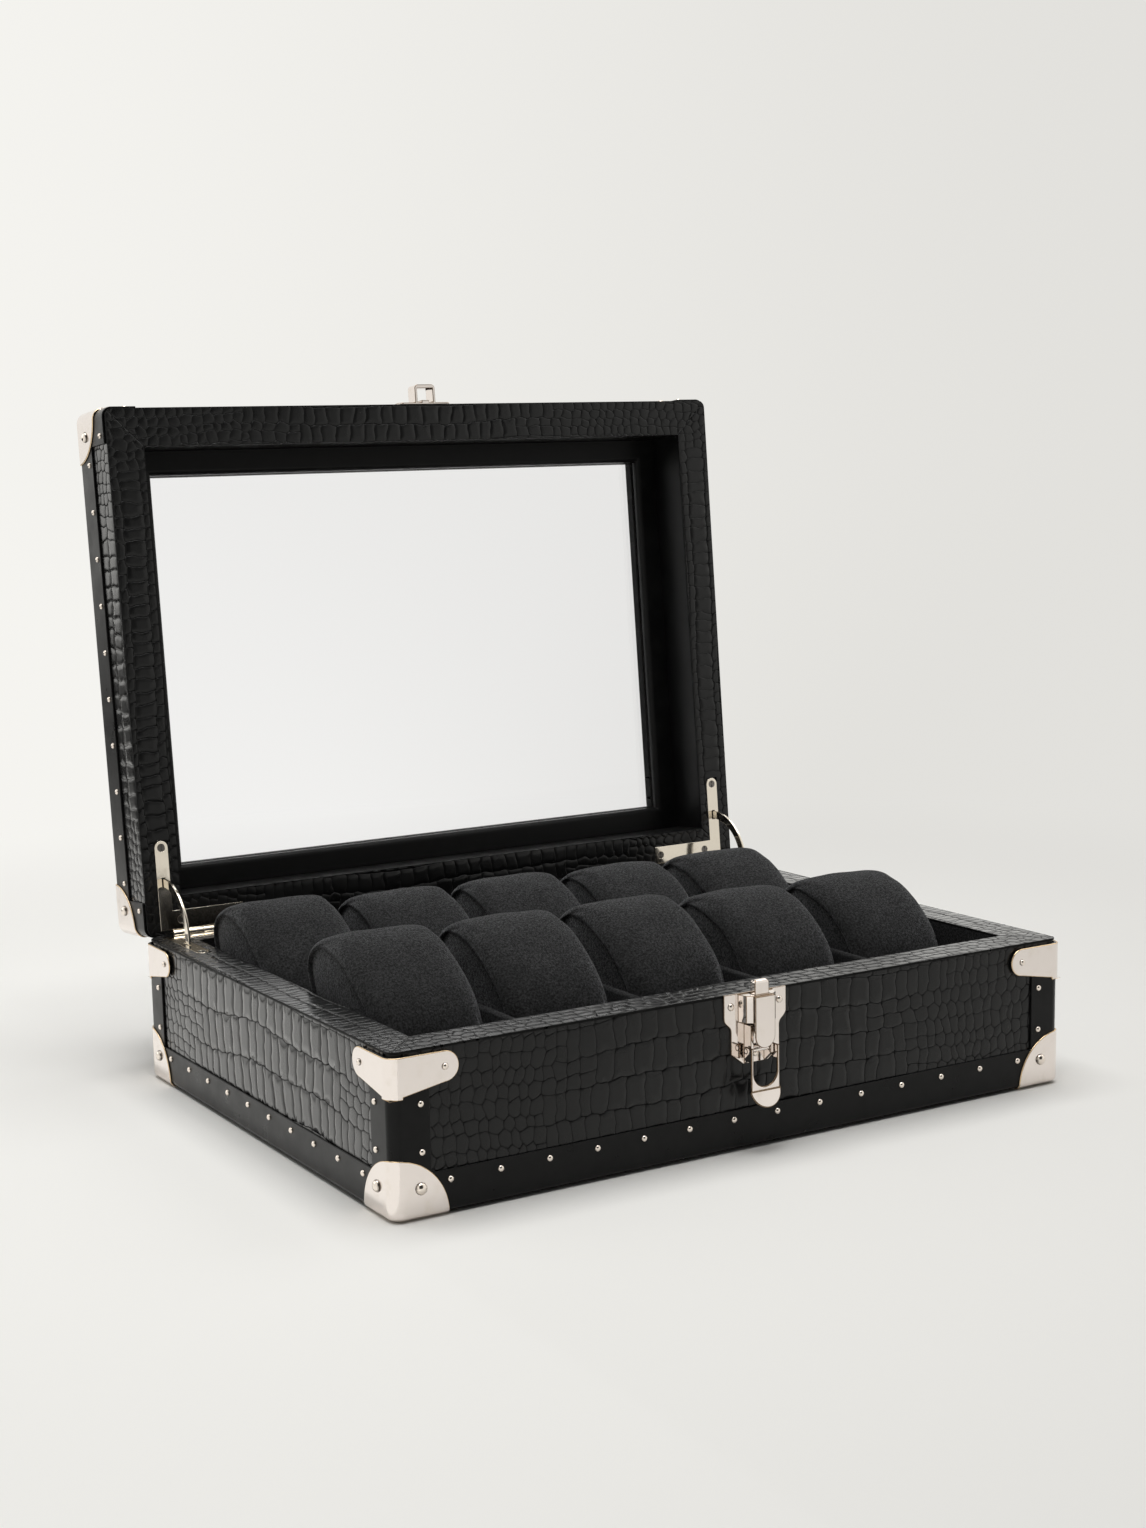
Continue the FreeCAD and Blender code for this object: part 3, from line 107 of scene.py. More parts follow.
Colour = tuple[float, float, float]
Place = tuple[float, float, float]
Pair = tuple[float, float]
Window = tuple[Vector, Vector]
Faces = list[tuple[int, ...]]
Touches = dict[float, dict[float, float]]


class Slot(Enum):
    """The record's material slots."""

    WOOD = "wood"
    REST_BOARD = "rest_board"
    EMBOSSED = "embossed_leather"
    SMOOTH = "smooth_leather"
    LID_LEATHER = "lid_leather"
    SUEDE = "suede"
    CUSHION = "cushion_suede"
    FELT = "felt"
    NICKEL = "nickel"
    HINGE = "hinge_metal"
    SCREW = "screw_steel"
    GLASS = "glass"


class Side(Enum):
    """The four sides of the box, by the direction they face."""

    FRONT = (0.0, -1.0)
    RIGHT = (1.0, 0.0)
    BACK = (0.0, 1.0)
    LEFT = (-1.0, 0.0)

    @property
    def outward(self) -> Vector:
        """The direction that the side faces."""
        return Vector((*self.value, 0.0))

    @property
    def lengthwise(self) -> int:
        """The frame axis that runs along the side."""
        return 0 if self.value[0] == 0.0 else 1


class NodeGraph:
    """A node tree, with short ways to add and join its nodes."""

    def __init__(self, tree: bpy.types.NodeTree) -> None:
        self.tree = tree

    def add(self, kind: str, settings: dict[str, object] | None = None, **inputs: object) -> bpy.types.Node:
        """Adds a node and fills its inputs with sockets or constants.

        Args:
            kind: The node's type name.
            settings: Values of the node's own properties.
            inputs: Values by input name, with _ for a space.

        Returns:
            The new node.
        """
        node = self.tree.nodes.new(kind)
        for name, value in (settings or {}).items():
            setattr(node, name, value)
        for name, value in inputs.items():
            self.feed(node.inputs[name.replace("_", " ")], value)
        return node

    def join(self, kind: str, operation: str | None, *values: object) -> bpy.types.Node:
        """Adds a node, with its operation if it has one, and fills its first inputs in order."""
        node = self.add(kind, {"operation": operation} if operation else None)
        for socket, value in zip(node.inputs, values):
            self.feed(socket, value)
        return node

    def feed(self, socket: bpy.types.NodeSocket, value: object) -> None:
        """Joins a socket to an input, or sets the input to a constant."""
        if isinstance(value, bpy.types.NodeSocket):
            self.tree.links.new(value, socket)
        else:
            socket.default_value = value

    def remap(
        self,
        value: object,
        low: float,
        high: float,
        to_low: float = 0.0,
        to_high: float = 1.0,
        kind: str = "LINEAR",
    ) -> bpy.types.NodeSocket:
        """A value moved from one range to another, kept inside it."""
        limits = {"From_Min": low, "From_Max": high, "To_Min": to_low, "To_Max": to_high}
        node = self.add("ShaderNodeMapRange", {"interpolation_type": kind}, Value=value, **limits)
        return node.outputs["Result"]

    def combine(self, operation: str, first: object, second: object) -> bpy.types.NodeSocket:
        """Two values joined by a Math node's operation."""
        return self.join("ShaderNodeMath", operation, first, second).outputs[0]

    def blend(self, factor: object, first: object, second: object) -> bpy.types.NodeSocket:
        """Two colours mixed by a factor."""
        node = self.add("ShaderNodeMix", {"data_type": "RGBA"})
        self.feed(node.inputs[0], factor)
        for socket, colour in zip(node.inputs[6:8], (first, second)):
            self.feed(socket, (*colour, 1.0) if isinstance(colour, tuple) else colour)
        return node.outputs[2]

    def mix(self, factor: object, first: object, second: object) -> bpy.types.NodeSocket:
        """Two shaders mixed by a factor."""
        return self.join("ShaderNodeMixShader", None, factor, first, second).outputs[0]

    def ramp(
        self, way: bpy.types.NodeSocket, axis: Vector, limits: Pair, first: Colour, last: Colour
    ) -> bpy.types.NodeSocket:
        """A colour that goes from first to last along an axis.

        Args:
            way: A direction or a place.
            axis: The axis.
            limits: Where the change starts and ends along it.
            first: Colour at the start.
            last: Colour at the end.

        Returns:
            The colour's socket.
        """
        along = self.join("ShaderNodeVectorMath", "DOT_PRODUCT", way, axis).outputs["Value"]
        return self.blend(self.remap(along, *limits, kind="SMOOTHSTEP"), first, last)


class ShaderTree(NodeGraph):
    """A material's node tree, on Object coordinates."""

    def __init__(self, name: str) -> None:
        self.material = bpy.data.materials.new(name)
        self.material.use_nodes = True
        super().__init__(self.material.node_tree)
        self.skin = self.tree.nodes["Principled BSDF"]
        self.place = self.add("ShaderNodeTexCoord").outputs["Object"]

    def surface(self, **inputs: object) -> None:
        """Sets inputs of the surface shader."""
        for name, value in inputs.items():
            self.feed(self.skin.inputs[name.replace("_", " ")], value)

    def output(self, shader: bpy.types.NodeSocket) -> None:
        """Shows another shader in the surface shader's stead."""
        self.feed(self.tree.nodes["Material Output"].inputs["Surface"], shader)

    def noise(
        self,
        scale: float,
        detail: float = 3.0,
        stretch: Colour = (1.0, 1.0, 1.0),
        roughness: float = 0.55,
    ) -> bpy.types.NodeSocket:
        """Noise on Object coordinates.

        Args:
            scale: Features for each metre.
            detail: Octaves.
            stretch: Factor on the scale along each axis.
            roughness: Weight of the finer octaves.

        Returns:
            The noise value's socket.
        """
        place = self.add("ShaderNodeMapping", Vector=self.place, Scale=stretch).outputs["Vector"]
        node = self.add("ShaderNodeTexNoise", Vector=place, Scale=scale, Detail=detail, Roughness=roughness)
        return node.outputs["Fac"]

    def attribute(self, name: str) -> bpy.types.NodeSocket:
        """A mesh attribute's value."""
        return self.add("ShaderNodeAttribute", {"attribute_name": name}).outputs["Fac"]

    def bump(
        self, height: bpy.types.NodeSocket, strength: float, distance: float, under: object = None
    ) -> bpy.types.NodeSocket:
        """A bump from a height.

        Args:
            height: The height's socket.
            strength: How much of the bump shows.
            distance: The bump's depth in metres.
            under: An earlier bump that this one lies over.

        Returns:
            The normal's socket.
        """
        node = self.add("ShaderNodeBump", Height=height, Strength=strength, Distance=distance)
        if under is not None:
            self.feed(node.inputs["Normal"], under)
        return node.outputs["Normal"]


def grey(level: float) -> Colour:
    """A grey of that linear level."""
    return (level, level, level)


def toned(colour: Colour, share: float) -> Colour:
    """A colour made darker or lighter."""
    return tuple(share * part for part in colour)


@dataclass(frozen=True)
class Finish:
    """One finish of the box.

    Attributes:
        name: The material's name.
        tone: Its main colour, linear.
        roughness: Its mean roughness.
    """

    name: str
    tone: Colour
    roughness: float

    def material(self) -> bpy.types.Material:
        """The finish as a material."""
        tree = ShaderTree(self.name)
        self.dress(tree)
        return tree.material

    def dress(self, tree: ShaderTree) -> None:
        """Fills the material's tree."""
        raise NotImplementedError


@dataclass(frozen=True)
class EmbossedLeather(Finish):
    """Leather whose scales carry crease, scale_tone and polish attributes.

    Attributes:
        crease: Colour in the creases, darker than the leather: painted shade in the grooves.
        specular: Strength of the leather's own reflection.
        coat_ior: Of the dressing on plain sheets.
        polished_ior: Of the dressing on polished sheets.
        coat_roughness: Of the dressing.
        pore_scale: Pores for each metre.
        hair_scale: Hair lines for each metre, along each axis.
        cloud_scale: Uneven patches for each metre.
    """

    # Painted shade: the leather darkens to this colour along its creases.
    crease: Colour = grey(0.002)
    specular: float = 0.125
    coat_ior: float = 1.25
    polished_ior: float = 1.46
    coat_roughness: float = 0.2
    pore_scale: float = 1500.0
    hair_scale: Colour = (1400.0, 1400.0, 130.0)
    cloud_scale: float = 28.0

    def dress(self, tree: ShaderTree) -> None:
        """Creases darkened as painted shade, polished scale tops, fine pores and hair lines."""
        crease, tone, polish = (tree.attribute(name) for name in ("crease", "scale_tone", "polish"))
        body = tree.blend(tree.remap(tone, 0.0, 1.0, 0.0, 0.7), self.tone, toned(self.tone, 1.5))
        # Painted shade: the base colour darkens towards the crease colour along each crease.
        tree.surface(Base_Color=tree.blend(crease, body, self.crease))
        cloud = tree.noise(self.cloud_scale, 2.0)
        uneven = tree.remap(cloud, *NOISE, self.roughness - 0.05, self.roughness + 0.06)
        spread = tree.combine("ADD", uneven, tree.remap(tone, 0.0, 1.0, -0.05, 0.07))
        tree.surface(Roughness=tree.combine("ADD", spread, tree.remap(crease, 0.0, 1.0, 0.0, 0.4)))
        tree.surface(Specular_IOR_Level=self.specular, Coat_Roughness=self.coat_roughness)
        tree.surface(Coat_IOR=tree.remap(polish, 0.0, 1.0, self.coat_ior, self.polished_ior))
        tree.surface(Coat_Weight=tree.remap(crease, 0.2, 1.0, 1.0, 0.1))
        pores = tree.bump(tree.noise(self.pore_scale, 4.0), 0.35, 0.05 * MM)
        normal = tree.bump(tree.noise(1.0, 3.0, self.hair_scale), 0.3, 0.05 * MM, pores)
        tree.surface(Normal=normal, Coat_Normal=normal)


@dataclass(frozen=True)
class SmoothLeather(Finish):
    """Plain leather with a fine grain.

    Attributes:
        specular: Strength of the leather's own reflection.
        coat_ior: Of the dressing.
        pore_scale: Pores for each metre.
        mark_scale: Handling marks for each metre.
    """

    specular: float = 0.075
    coat_ior: float = 1.168
    pore_scale: float = 1900.0
    mark_scale: float = 90.0

    def dress(self, tree: ShaderTree) -> None:
        """Fine pores, faint handling marks and a cloudy satin."""
        marks = tree.noise(self.mark_scale, 3.0)
        tree.surface(Base_Color=tree.blend(tree.remap(marks, 0.35, 0.7), self.tone, toned(self.tone, 1.6)))
        satin = tree.remap(marks, *NOISE, self.roughness - 0.06, self.roughness + 0.08)
        tree.surface(Roughness=satin, Coat_Roughness=satin, Coat_Weight=1.0, Coat_IOR=self.coat_ior)
        waves = tree.bump(marks, 0.12, 0.3 * MM)
        normal = tree.bump(tree.noise(self.pore_scale, 5.0), 0.4, 0.06 * MM, waves)
        tree.surface(Specular_IOR_Level=self.specular, Normal=normal, Coat_Normal=normal)


@dataclass(frozen=True)
class Suede(Finish):
    """Short-napped cloth with brushed patches.

    Attributes:
        sheen: Strength of the nap's sheen.
        patch_scale: Brushed patches for each metre.
        nap_scale: Tufts for each metre.
        sheen_tint: Colour of the sheen.
    """

    sheen: float = 0.3
    patch_scale: float = 70.0
    nap_scale: float = 1050.0
    sheen_tint: Colour = (0.75, 0.76, 0.78)

    def dress(self, tree: ShaderTree) -> None:
        """A fine nap whose patches lie lighter or darker."""
        patches = tree.noise(self.patch_scale, 4.0, roughness=0.65)
        nap = tree.noise(self.nap_scale, 4.0, roughness=0.8)
        brushed = tree.remap(patches, 0.35, 0.65)
        body = tree.blend(brushed, toned(self.tone, 0.8), toned(self.tone, 1.35))
        speck = tree.blend(tree.remap(nap, 0.4, 0.6, 0.0, 0.95), body, toned(self.tone, 0.15))
        tree.surface(Base_Color=speck, Roughness=self.roughness, Specular_IOR_Level=0.15)
        raised = tree.remap(nap, 0.4, 0.6, 1.7 * self.sheen, 0.2 * self.sheen)
        tree.surface(Sheen_Weight=raised, Sheen_Roughness=0.45, Sheen_Tint=(*self.sheen_tint, 1.0))
        tree.surface(Normal=tree.bump(nap, 1.0, 0.45 * MM, tree.bump(patches, 0.25, 0.6 * MM)))


@dataclass(frozen=True)
class PlatedMetal(Finish):
    """Polished plate with faint wear.

    Attributes:
        wear: Colour of the worn patches.
        patch_scale: Worn patches for each metre.
        wipe_scale: Wipe lines for each metre, along each axis.
    """

    wear: Colour = (0.7, 0.62, 0.5)
    patch_scale: float = 160.0
    wipe_scale: Colour = (420.0, 420.0, 2600.0)

    def dress(self, tree: ShaderTree) -> None:
        """A polish with faint wipe lines and a few warmer worn patches."""
        patches = tree.noise(self.patch_scale, 3.0)
        worn = tree.remap(patches, 0.55, 0.85, 0.0, 0.35)
        tree.surface(Base_Color=tree.blend(worn, self.tone, self.wear), Metallic=1.0)
        tree.surface(Roughness=tree.remap(patches, *NOISE, self.roughness - 0.03, self.roughness + 0.05))
        tree.surface(Normal=tree.bump(tree.noise(1.0, 2.0, self.wipe_scale), 0.05, 0.03 * MM))


@dataclass(frozen=True)
class PolishedHead(Finish):
    """Polished nail and rivet heads that carry a rise attribute.

    Attributes:
        foot: Colour round the foot of a head, a painted shade.
        foot_roughness: Roughness there.
        shade_edge_scale: Wobbles in the edge of the painted shade, for each metre.
    """

    # Painted shade: each head darkens to this colour round its foot.
    foot: Colour = (0.05, 0.04, 0.03)
    foot_roughness: float = 0.3
    shade_edge_scale: float = 700.0

    def dress(self, tree: ShaderTree) -> None:
        """A bright crown, and a painted shade round the foot, with a duller polish there."""
        shade_wobble = tree.remap(tree.noise(self.shade_edge_scale, 2.0), *NOISE, -0.15, 0.15)
        crown_share = tree.remap(tree.combine("ADD", tree.attribute("rise"), shade_wobble), 0.05, 0.6)
        # Painted shade: the colour darkens from the crown down to the foot.
        tree.surface(Base_Color=tree.blend(crown_share, self.foot, self.tone), Metallic=1.0)
        tree.surface(Roughness=tree.remap(crown_share, 0.0, 1.0, self.foot_roughness, self.roughness))


@dataclass(frozen=True)
class ClearGlass(Finish):
    """Clear plate glass.

    Attributes:
        ior: Of the glass.
        haze_scale: Clouds of handling for each metre.
    """

    ior: float = 1.46
    haze_scale: float = 30.0

    def dress(self, tree: ShaderTree) -> None:
        """Clear, with a faint cloud of handling on its gloss."""
        haze = tree.noise(self.haze_scale, 3.0)
        tree.surface(Base_Color=(*self.tone, 1.0), Transmission_Weight=1.0, IOR=self.ior)
        tree.surface(Roughness=tree.remap(haze, 0.5, 0.9, self.roughness, self.roughness + 0.02))


@dataclass(frozen=True)
class Board(Finish):
    """Sawn board with a long grain.

    Attributes:
        line_scale: Grain lines for each metre, along each axis.
        pore_scale: Pores for each metre, along each axis.
    """

    line_scale: Colour = (30.0, 260.0, 260.0)
    pore_scale: Colour = (200.0, 1600.0, 1600.0)

    def dress(self, tree: ShaderTree) -> None:
        """Grain lines along the board and fine pores."""
        lines = tree.noise(1.0, 5.0, self.line_scale)
        pores = tree.noise(1.0, 3.0, self.pore_scale)
        tree.surface(Base_Color=tree.blend(tree.remap(lines, 0.35, 0.65), toned(self.tone, 0.6), self.tone))
        tree.surface(Roughness=tree.remap(pores, *NOISE, self.roughness - 0.1, self.roughness + 0.1))
        tree.surface(Normal=tree.bump(lines, 0.3, 0.15 * MM))


@dataclass(frozen=True)
class Felt(Finish):
    """Pressed felt.

    Attributes:
        fibre_scale: Fibres for each metre.
    """

    fibre_scale: float = 900.0

    def dress(self, tree: ShaderTree) -> None:
        """Matted fibres."""
        fibres = tree.noise(self.fibre_scale, 5.0)
        matted = tree.blend(fibres, self.tone, toned(self.tone, 1.8))
        tree.surface(Base_Color=matted, Roughness=self.roughness)
        tree.surface(Specular_IOR_Level=0.1, Normal=tree.bump(fibres, 0.8, 0.3 * MM))


class Finishes:
    """The built materials of every slot.

    Attributes:
        by_slot: The materials. Board shows only in slits and through the glass, so it is stained dark.
        gilt: For cut edges of the corner pieces.
        brass_and_shade_edge: For cut edges of the latch: a brassy tone darkened as painted shade.
        polished: For the latch.
        heads: For the polished heads of nails and rivets.
    """

    def __init__(self) -> None:
        plans = {
            Slot.WOOD: Board("stained_board_finish", (0.012, 0.011, 0.01), 0.6),
            Slot.REST_BOARD: Board("rest_board_finish", (0.03, 0.028, 0.027), 0.8),
            Slot.EMBOSSED: EmbossedLeather("embossed_finish", grey(0.0065), 0.27),
            Slot.SMOOTH: SmoothLeather("smooth_finish", grey(0.005), 0.32),
            Slot.LID_LEATHER: SmoothLeather("lid_leather_finish", grey(0.0045), 0.36, 0.06, 1.15, 1500.0),
            Slot.SUEDE: Suede("suede_finish", grey(0.012), 0.95, 0.18, 60.0),
            Slot.CUSHION: Suede("cushion_finish", grey(0.028), 0.95, 0.3, 85.0),
            Slot.FELT: Felt("felt_finish", grey(0.012), 0.95),
            Slot.NICKEL: PlatedMetal("nickel_finish", (0.86, 0.795, 0.75), 0.17),
            Slot.HINGE: PlatedMetal("hinge_finish", (0.84, 0.77, 0.66), 0.07),
            Slot.SCREW: PlatedMetal("screw_finish", (0.2, 0.185, 0.17), 0.3, (0.1, 0.09, 0.08)),
            Slot.GLASS: ClearGlass("glass_finish", (0.97, 0.976, 1.0), 0.0),
        }
        self.by_slot = {slot: plan.material() for slot, plan in plans.items()}
        self.gilt = PlatedMetal("gilt_edge_finish", (0.66, 0.5, 0.32), 0.2).material()
        # Painted shade in a brassy tone: the latch's cut edges and its lever's fold are drawn dark brown.
        self.brass_and_shade_edge = PlatedMetal("browned_edge_finish", (0.2, 0.14, 0.09), 0.16).material()
        self.polished = PlatedMetal("polished_finish", (0.86, 0.79, 0.74), 0.07).material()
        self.heads = PolishedHead("head_finish", (0.84, 0.76, 0.68), 0.05).material()

    def __getitem__(self, slot: Slot) -> bpy.types.Material:
        """The material of a slot."""
        return self.by_slot[slot]


class Frame:
    """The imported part: its nodes, their bodies and slots, and the lid's swing."""

    def __init__(self) -> None:
        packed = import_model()
        record = packed["record"]
        self.nodes: dict[str, bpy.types.Object] = packed["nodes"]
        bodies = record["behaviour"]["bodies"]
        self.body_of = {node: body for body, members in bodies.items() for node in members}
        self.slot_of = {part["node"]: Slot(part["material_slot"]) for part in record["subparts"]}
        hinge = next(joint for joint in packed["joints"] if joint["name"] == "lid_hinge")
        pivot = Matrix.Translation(Vector(hinge["pos_m"]))
        swing = Matrix.Rotation(math.radians(-hinge["range_deg"][0]), 4, Vector(hinge["axis"]))
        self.open_lid = pivot @ swing @ pivot.inverted()

    def placement(self, node: str) -> Matrix:
        """The move from the shut box to the node's place at rest."""
        return self.open_lid if self.body_of[node] == "lid" else Matrix.Identity(4)

    def shut_points(self, node: str) -> np.ndarray:
        """A node's vertices with the lid shut."""
        back = self.placement(node).inverted()
        return np.array([back @ vertex.co for vertex in self.nodes[node].data.vertices])

    def shut_box(self, node: str) -> tuple[Vector, Vector]:
        """A node's lowest and highest corners with the lid shut."""
        points = self.shut_points(node)
        return Vector(points.min(0)), Vector(points.max(0))

    def settle(self, piece: bpy.types.Object, node: str) -> None:
        """Puts a finished piece in a node's stead."""
        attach(piece, self.body_of[node])
        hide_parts(node)


def shown(name: str, mesh: bpy.types.Mesh) -> bpy.types.Object:
    """Links a mesh to the scene as an object at the origin."""
    piece = bpy.data.objects.new(name, mesh)
    bpy.context.scene.collection.objects.link(piece)
    return piece


def baked(piece: bpy.types.Object) -> bpy.types.Object:
    """Applies a piece's modifiers, leaving a plain mesh."""
    depsgraph = bpy.context.evaluated_depsgraph_get()
    mesh = bpy.data.meshes.new_from_object(piece.evaluated_get(depsgraph))
    piece.modifiers.clear()
    piece.data = mesh
    return piece


@dataclass(frozen=True)
class Ripple:
    """A wave over two coordinates, u and v.

    Attributes:
        height: Of the wave.
        along: Its turn for each unit of u, in radians.
        across: Its turn for each unit of v.
        phase: Its turn at the start.
    """

    height: float
    along: float
    across: float
    phase: float = 0.0

    def at(self, u: np.ndarray, v: np.ndarray) -> np.ndarray:
        """The wave's height at some places."""
        return self.height * np.sin(self.along * u + self.across * v + self.phase)


@dataclass
class Band:
    """One stretch of a row of scales.

    Attributes:
        low: Level of its lower crease.
        high: Level of its upper crease.
        divides: Where each divide between scales meets the lower and the upper crease.
        forks: Levels at which other creases meet its two ends, from the lowest.
    """

    low: float
    high: float
    divides: list[Pair]
    forks: tuple[float, ...] = ()


@dataclass(frozen=True)
class Grain:
    """How a strip of reptile-grain leather is divided into scales; lengths in metres.

    Scales stand side by side in rows along the strip. Towards both ends of the strip each row
    forks into rows of smaller, rounder scales.

    Attributes:
        rows: Shares of the strip's height that the rows take.
        pitch: Width of a scale in the middle.
        end_pitch: Width of a scale at the ends.
        spread: Shares of the half length between which the rows fork.
        wave: Swing of the rows.
        stray: How far the divides stray, as a share of the pitch.
        snap: Divides of neighbouring rows that are closer than this meet.
        seed: Of the random draws.
        zigzag: How far a divide pulls the crease that it ends on, as a share of the end pitch.
        fork_stray: How far forks stray, as a share of the small rows' height.
        pitch_stray: How far widths of scales stray, for each stray of a divide.
        snap_loss: Share of the snap that is lost at the ends.
        swings: Lengths of the swing's waves in mm for each radian, along and up the strip: a long and
            a short wave of the rows, and one wave of the divides.
        ripple: Height of the last two waves, as a share of the swing.
    """

    rows: tuple[float, ...]
    pitch: float
    end_pitch: float
    spread: Pair = (0.4, 0.7)
    wave: float = 1.6 * MM
    stray: float = 0.13
    snap: float = 1.4 * MM
    seed: int = 1
    zigzag: float = 0.17
    fork_stray: float = 0.16
    pitch_stray: float = 1.6
    snap_loss: float = 0.6
    swings: tuple[Pair, Pair, Pair] = ((31.0, 40.0), (13.0, -25.0), (45.0, 11.0))
    ripple: float = 0.5

    def change(self, share: float) -> float:
        """How far the scales have turned from the middle's kind to the ends' kind."""
        low, high = self.spread
        step = min(max((share - low) / (high - low), 0.0), 1.0)
        return step * step * (3.0 - 2.0 * step)

    def reseeded(self, number: int) -> "Grain":
        """The same grain with other scales, for the sheet of that number."""
        return replace(self, seed=self.seed + SHEET_SEED * number)

    def cells(self, length: float, height: float) -> list[np.ndarray]:
        """The scales of a strip, reaching a little beyond its edges.

        Args:
            length: Of the strip, centred on 0.
            height: Of the strip, from 0.

        Returns:
            One anticlockwise ring of u, v corners for each scale.
        """
        draw = np.random.default_rng(self.seed)
        phases = draw.uniform(0.0, 2.0 * math.pi, len(self.swings))
        touches: Touches = {}
        bands = self._bands(draw, touches, length, height)
        return [self._swung(ring, phases) for band in bands for ring in self._rings(band, touches)]

    def _bands(self, draw: np.random.Generator, touches: Touches, length: float, height: float) -> list[Band]:
        """Lays out a strip's rows.

        Args:
            draw: The source of random numbers.
            touches: For each crease, filled with where divides touch it and how they pull it.
            length: Of the strip.
            height: Of the strip.

        Returns:
            The rows' stretches.
        """
        levels = height * np.cumsum((-self.rows[0], self.rows[0], *self.rows, self.rows[-1]))
        reach = length / 2.0 + 2.0 * self.pitch
        bands = []
        for low, high in zip(levels, levels[1:]):
            parts = max(1, round((high - low) / self.end_pitch))
            strays = draw.uniform(-self.fork_stray, self.fork_stray, parts - 1)
            shares = [part + 1 + stray for part, stray in enumerate(strays)]
            forks = tuple(low + (high - low) * share / parts for share in shares)
            left, right = (sign * draw.uniform(*self.spread) * length / 2.0 for sign in (-1.0, 1.0))
            stretches = [(low, high, left, right, forks)]
            for level, top in zip((low, *forks), (*forks, high)):
                stretches.append((level, top, -reach, left, ()))
                stretches.append((level, top, right, reach, ()))
            for level, top, begin, end, fork in stretches:
                divides = self._divides(draw, begin, end, length)
                ends = (divides[0], divides[-1])
                for side, line in enumerate((level, top)):
                    touched = touches.setdefault(round(line, LEVEL_DIGITS), {})
                    for divide in divides:
                        change = self.change(abs(divide[side]) / (length / 2.0))
                        pull = (1 - 2 * side) * self.zigzag * self.end_pitch * change
                        reach_out = 0.0 if divide in ends else self.snap * (1.0 - self.snap_loss * change)
                        divide[side] = self._meet(touched, divide[side], pull, reach_out)
                bands.append(Band(level, top, [tuple(divide) for divide in divides], fork))
        return bands

    def _divides(
        self, draw: np.random.Generator, begin: float, end: float, length: float
    ) -> list[list[float]]:
        """Divides between two ends, closer together towards the ends of the strip."""
        places = [begin]
        while places[-1] < end:
            change = self.change(abs(places[-1]) / (length / 2.0))
            pitch = self.pitch + change * (self.end_pitch - self.pitch)
            stray = self.pitch_stray * self.stray * draw.uniform(-1.0, 1.0)
            places.append(places[-1] + pitch * (1.0 + stray))
        share = (end - begin) / (places[-1] - begin)
        inner = [begin + share * (place - begin) for place in places[1:-1]]
        leans = draw.uniform(-self.stray, self.stray, (len(inner), 2)) * self.end_pitch
        leant = [[place + low, place + high] for place, (low, high) in zip(inner, leans)]
        return [[begin, begin], *leant, [end, end]]

    @staticmethod
    def _meet(line: dict[float, float], place: float, pull: float, snap: float) -> float:
        """Notes where a divide touches a crease.

        Args:
            line: The crease's touches so far, each with its pull.
            place: Where the divide would touch.
            pull: How far it pulls the crease.
            snap: How close a touch that it joins may be, or 0 for a touch that stays.

        Returns:
            Where the divide touches.
        """
        for other in line:
            if abs(other - place) < snap:
                line[other] = 0.0
                return other
        line.setdefault(place, pull if snap else 0.0)
        return place

    @staticmethod
    def _rings(band: Band, touches: Touches) -> list[np.ndarray]:
        """The outlines of a band's scales, with a corner wherever a divide touches them."""
        rings = []
        creases = (touches[round(level, LEVEL_DIGITS)] for level in (band.low, band.high))
        under, over = (sorted(crease.items()) for crease in creases)
        last = len(band.divides) - 2
        for index, (left, right) in enumerate(zip(band.divides, band.divides[1:])):
            ring = [(u, band.low + pull) for u, pull in under if left[0] <= u <= right[0]]
            if index == last:
                ring.extend((right[0], level) for level in band.forks)
            ring.extend((u, band.high + pull) for u, pull in reversed(over) if left[1] <= u <= right[1])
            if index == 0:
                ring.extend((left[0], level) for level in reversed(band.forks))
            rings.append(np.array(ring))
        return rings

    def _swung(self, ring: np.ndarray, phases: np.ndarray) -> np.ndarray:
        """Corners moved by the swing of the rows."""
        u, v = ring[:, 0] / MM, ring[:, 1] / MM
        long, short, shift = (
            np.sin(u / along + v / up + phase) for (along, up), phase in zip(self.swings, phases)
        )
        return ring + self.wave * np.column_stack((self.ripple * shift, long + self.ripple * short))


def edge_frames(outline: np.ndarray) -> list[tuple[np.ndarray, np.ndarray]]:
    """Each outline edge's start and its inward normal, for an outline that runs anticlockwise."""
    frames = []
    for start, end in zip(outline, np.roll(outline, -1, axis=0)):
        along = (end - start) / np.linalg.norm(end - start)
        frames.append((start, np.array((-along[1], along[0]))))
    return frames


def clipped(ring: np.ndarray, outline: np.ndarray) -> np.ndarray:
    """The part of a ring of corners that lies inside a convex outline."""
    for start, normal in edge_frames(outline):
        depths = (ring - start) @ normal
        kept = []
        for here, there, first, second in zip(
            ring, np.roll(ring, -1, axis=0), depths, np.roll(depths, -1)
        ):
            if first >= 0.0:
                kept.append(here)
            if (first >= 0.0) != (second >= 0.0):
                kept.append(here + (there - here) * first / (first - second))
        ring = np.array(kept).reshape(-1, 2)
        if len(ring) < 3:
            return ring
    apart = np.linalg.norm(ring - np.roll(ring, 1, axis=0), axis=1) > WELD
    return ring[apart]


@dataclass(frozen=True)
class ScaleRing:
    """A ring on the slope of a scale, in mm.

    Attributes:
        inset: Its distance from the crease.
        power: How square its corners are.
        height: Its height over the scale's top.
        crease: Its crease value.
        end_inset: Added to the inset at the ends of a strip.
        end_power: Added to the power there.
        end_height: Added to the height there.
    """

    inset: float
    power: float
    height: float
    crease: float
    end_inset: float = 0.0
    end_power: float = 0.0
    end_height: float = 0.0

    def at(self, end: float) -> tuple[float, float, float]:
        """Inset, power and height of a scale that has turned that far to the ends' kind."""
        power = self.power + self.end_power * end
        return (self.inset + self.end_inset * end) * MM, power, (self.height + self.end_height * end) * MM


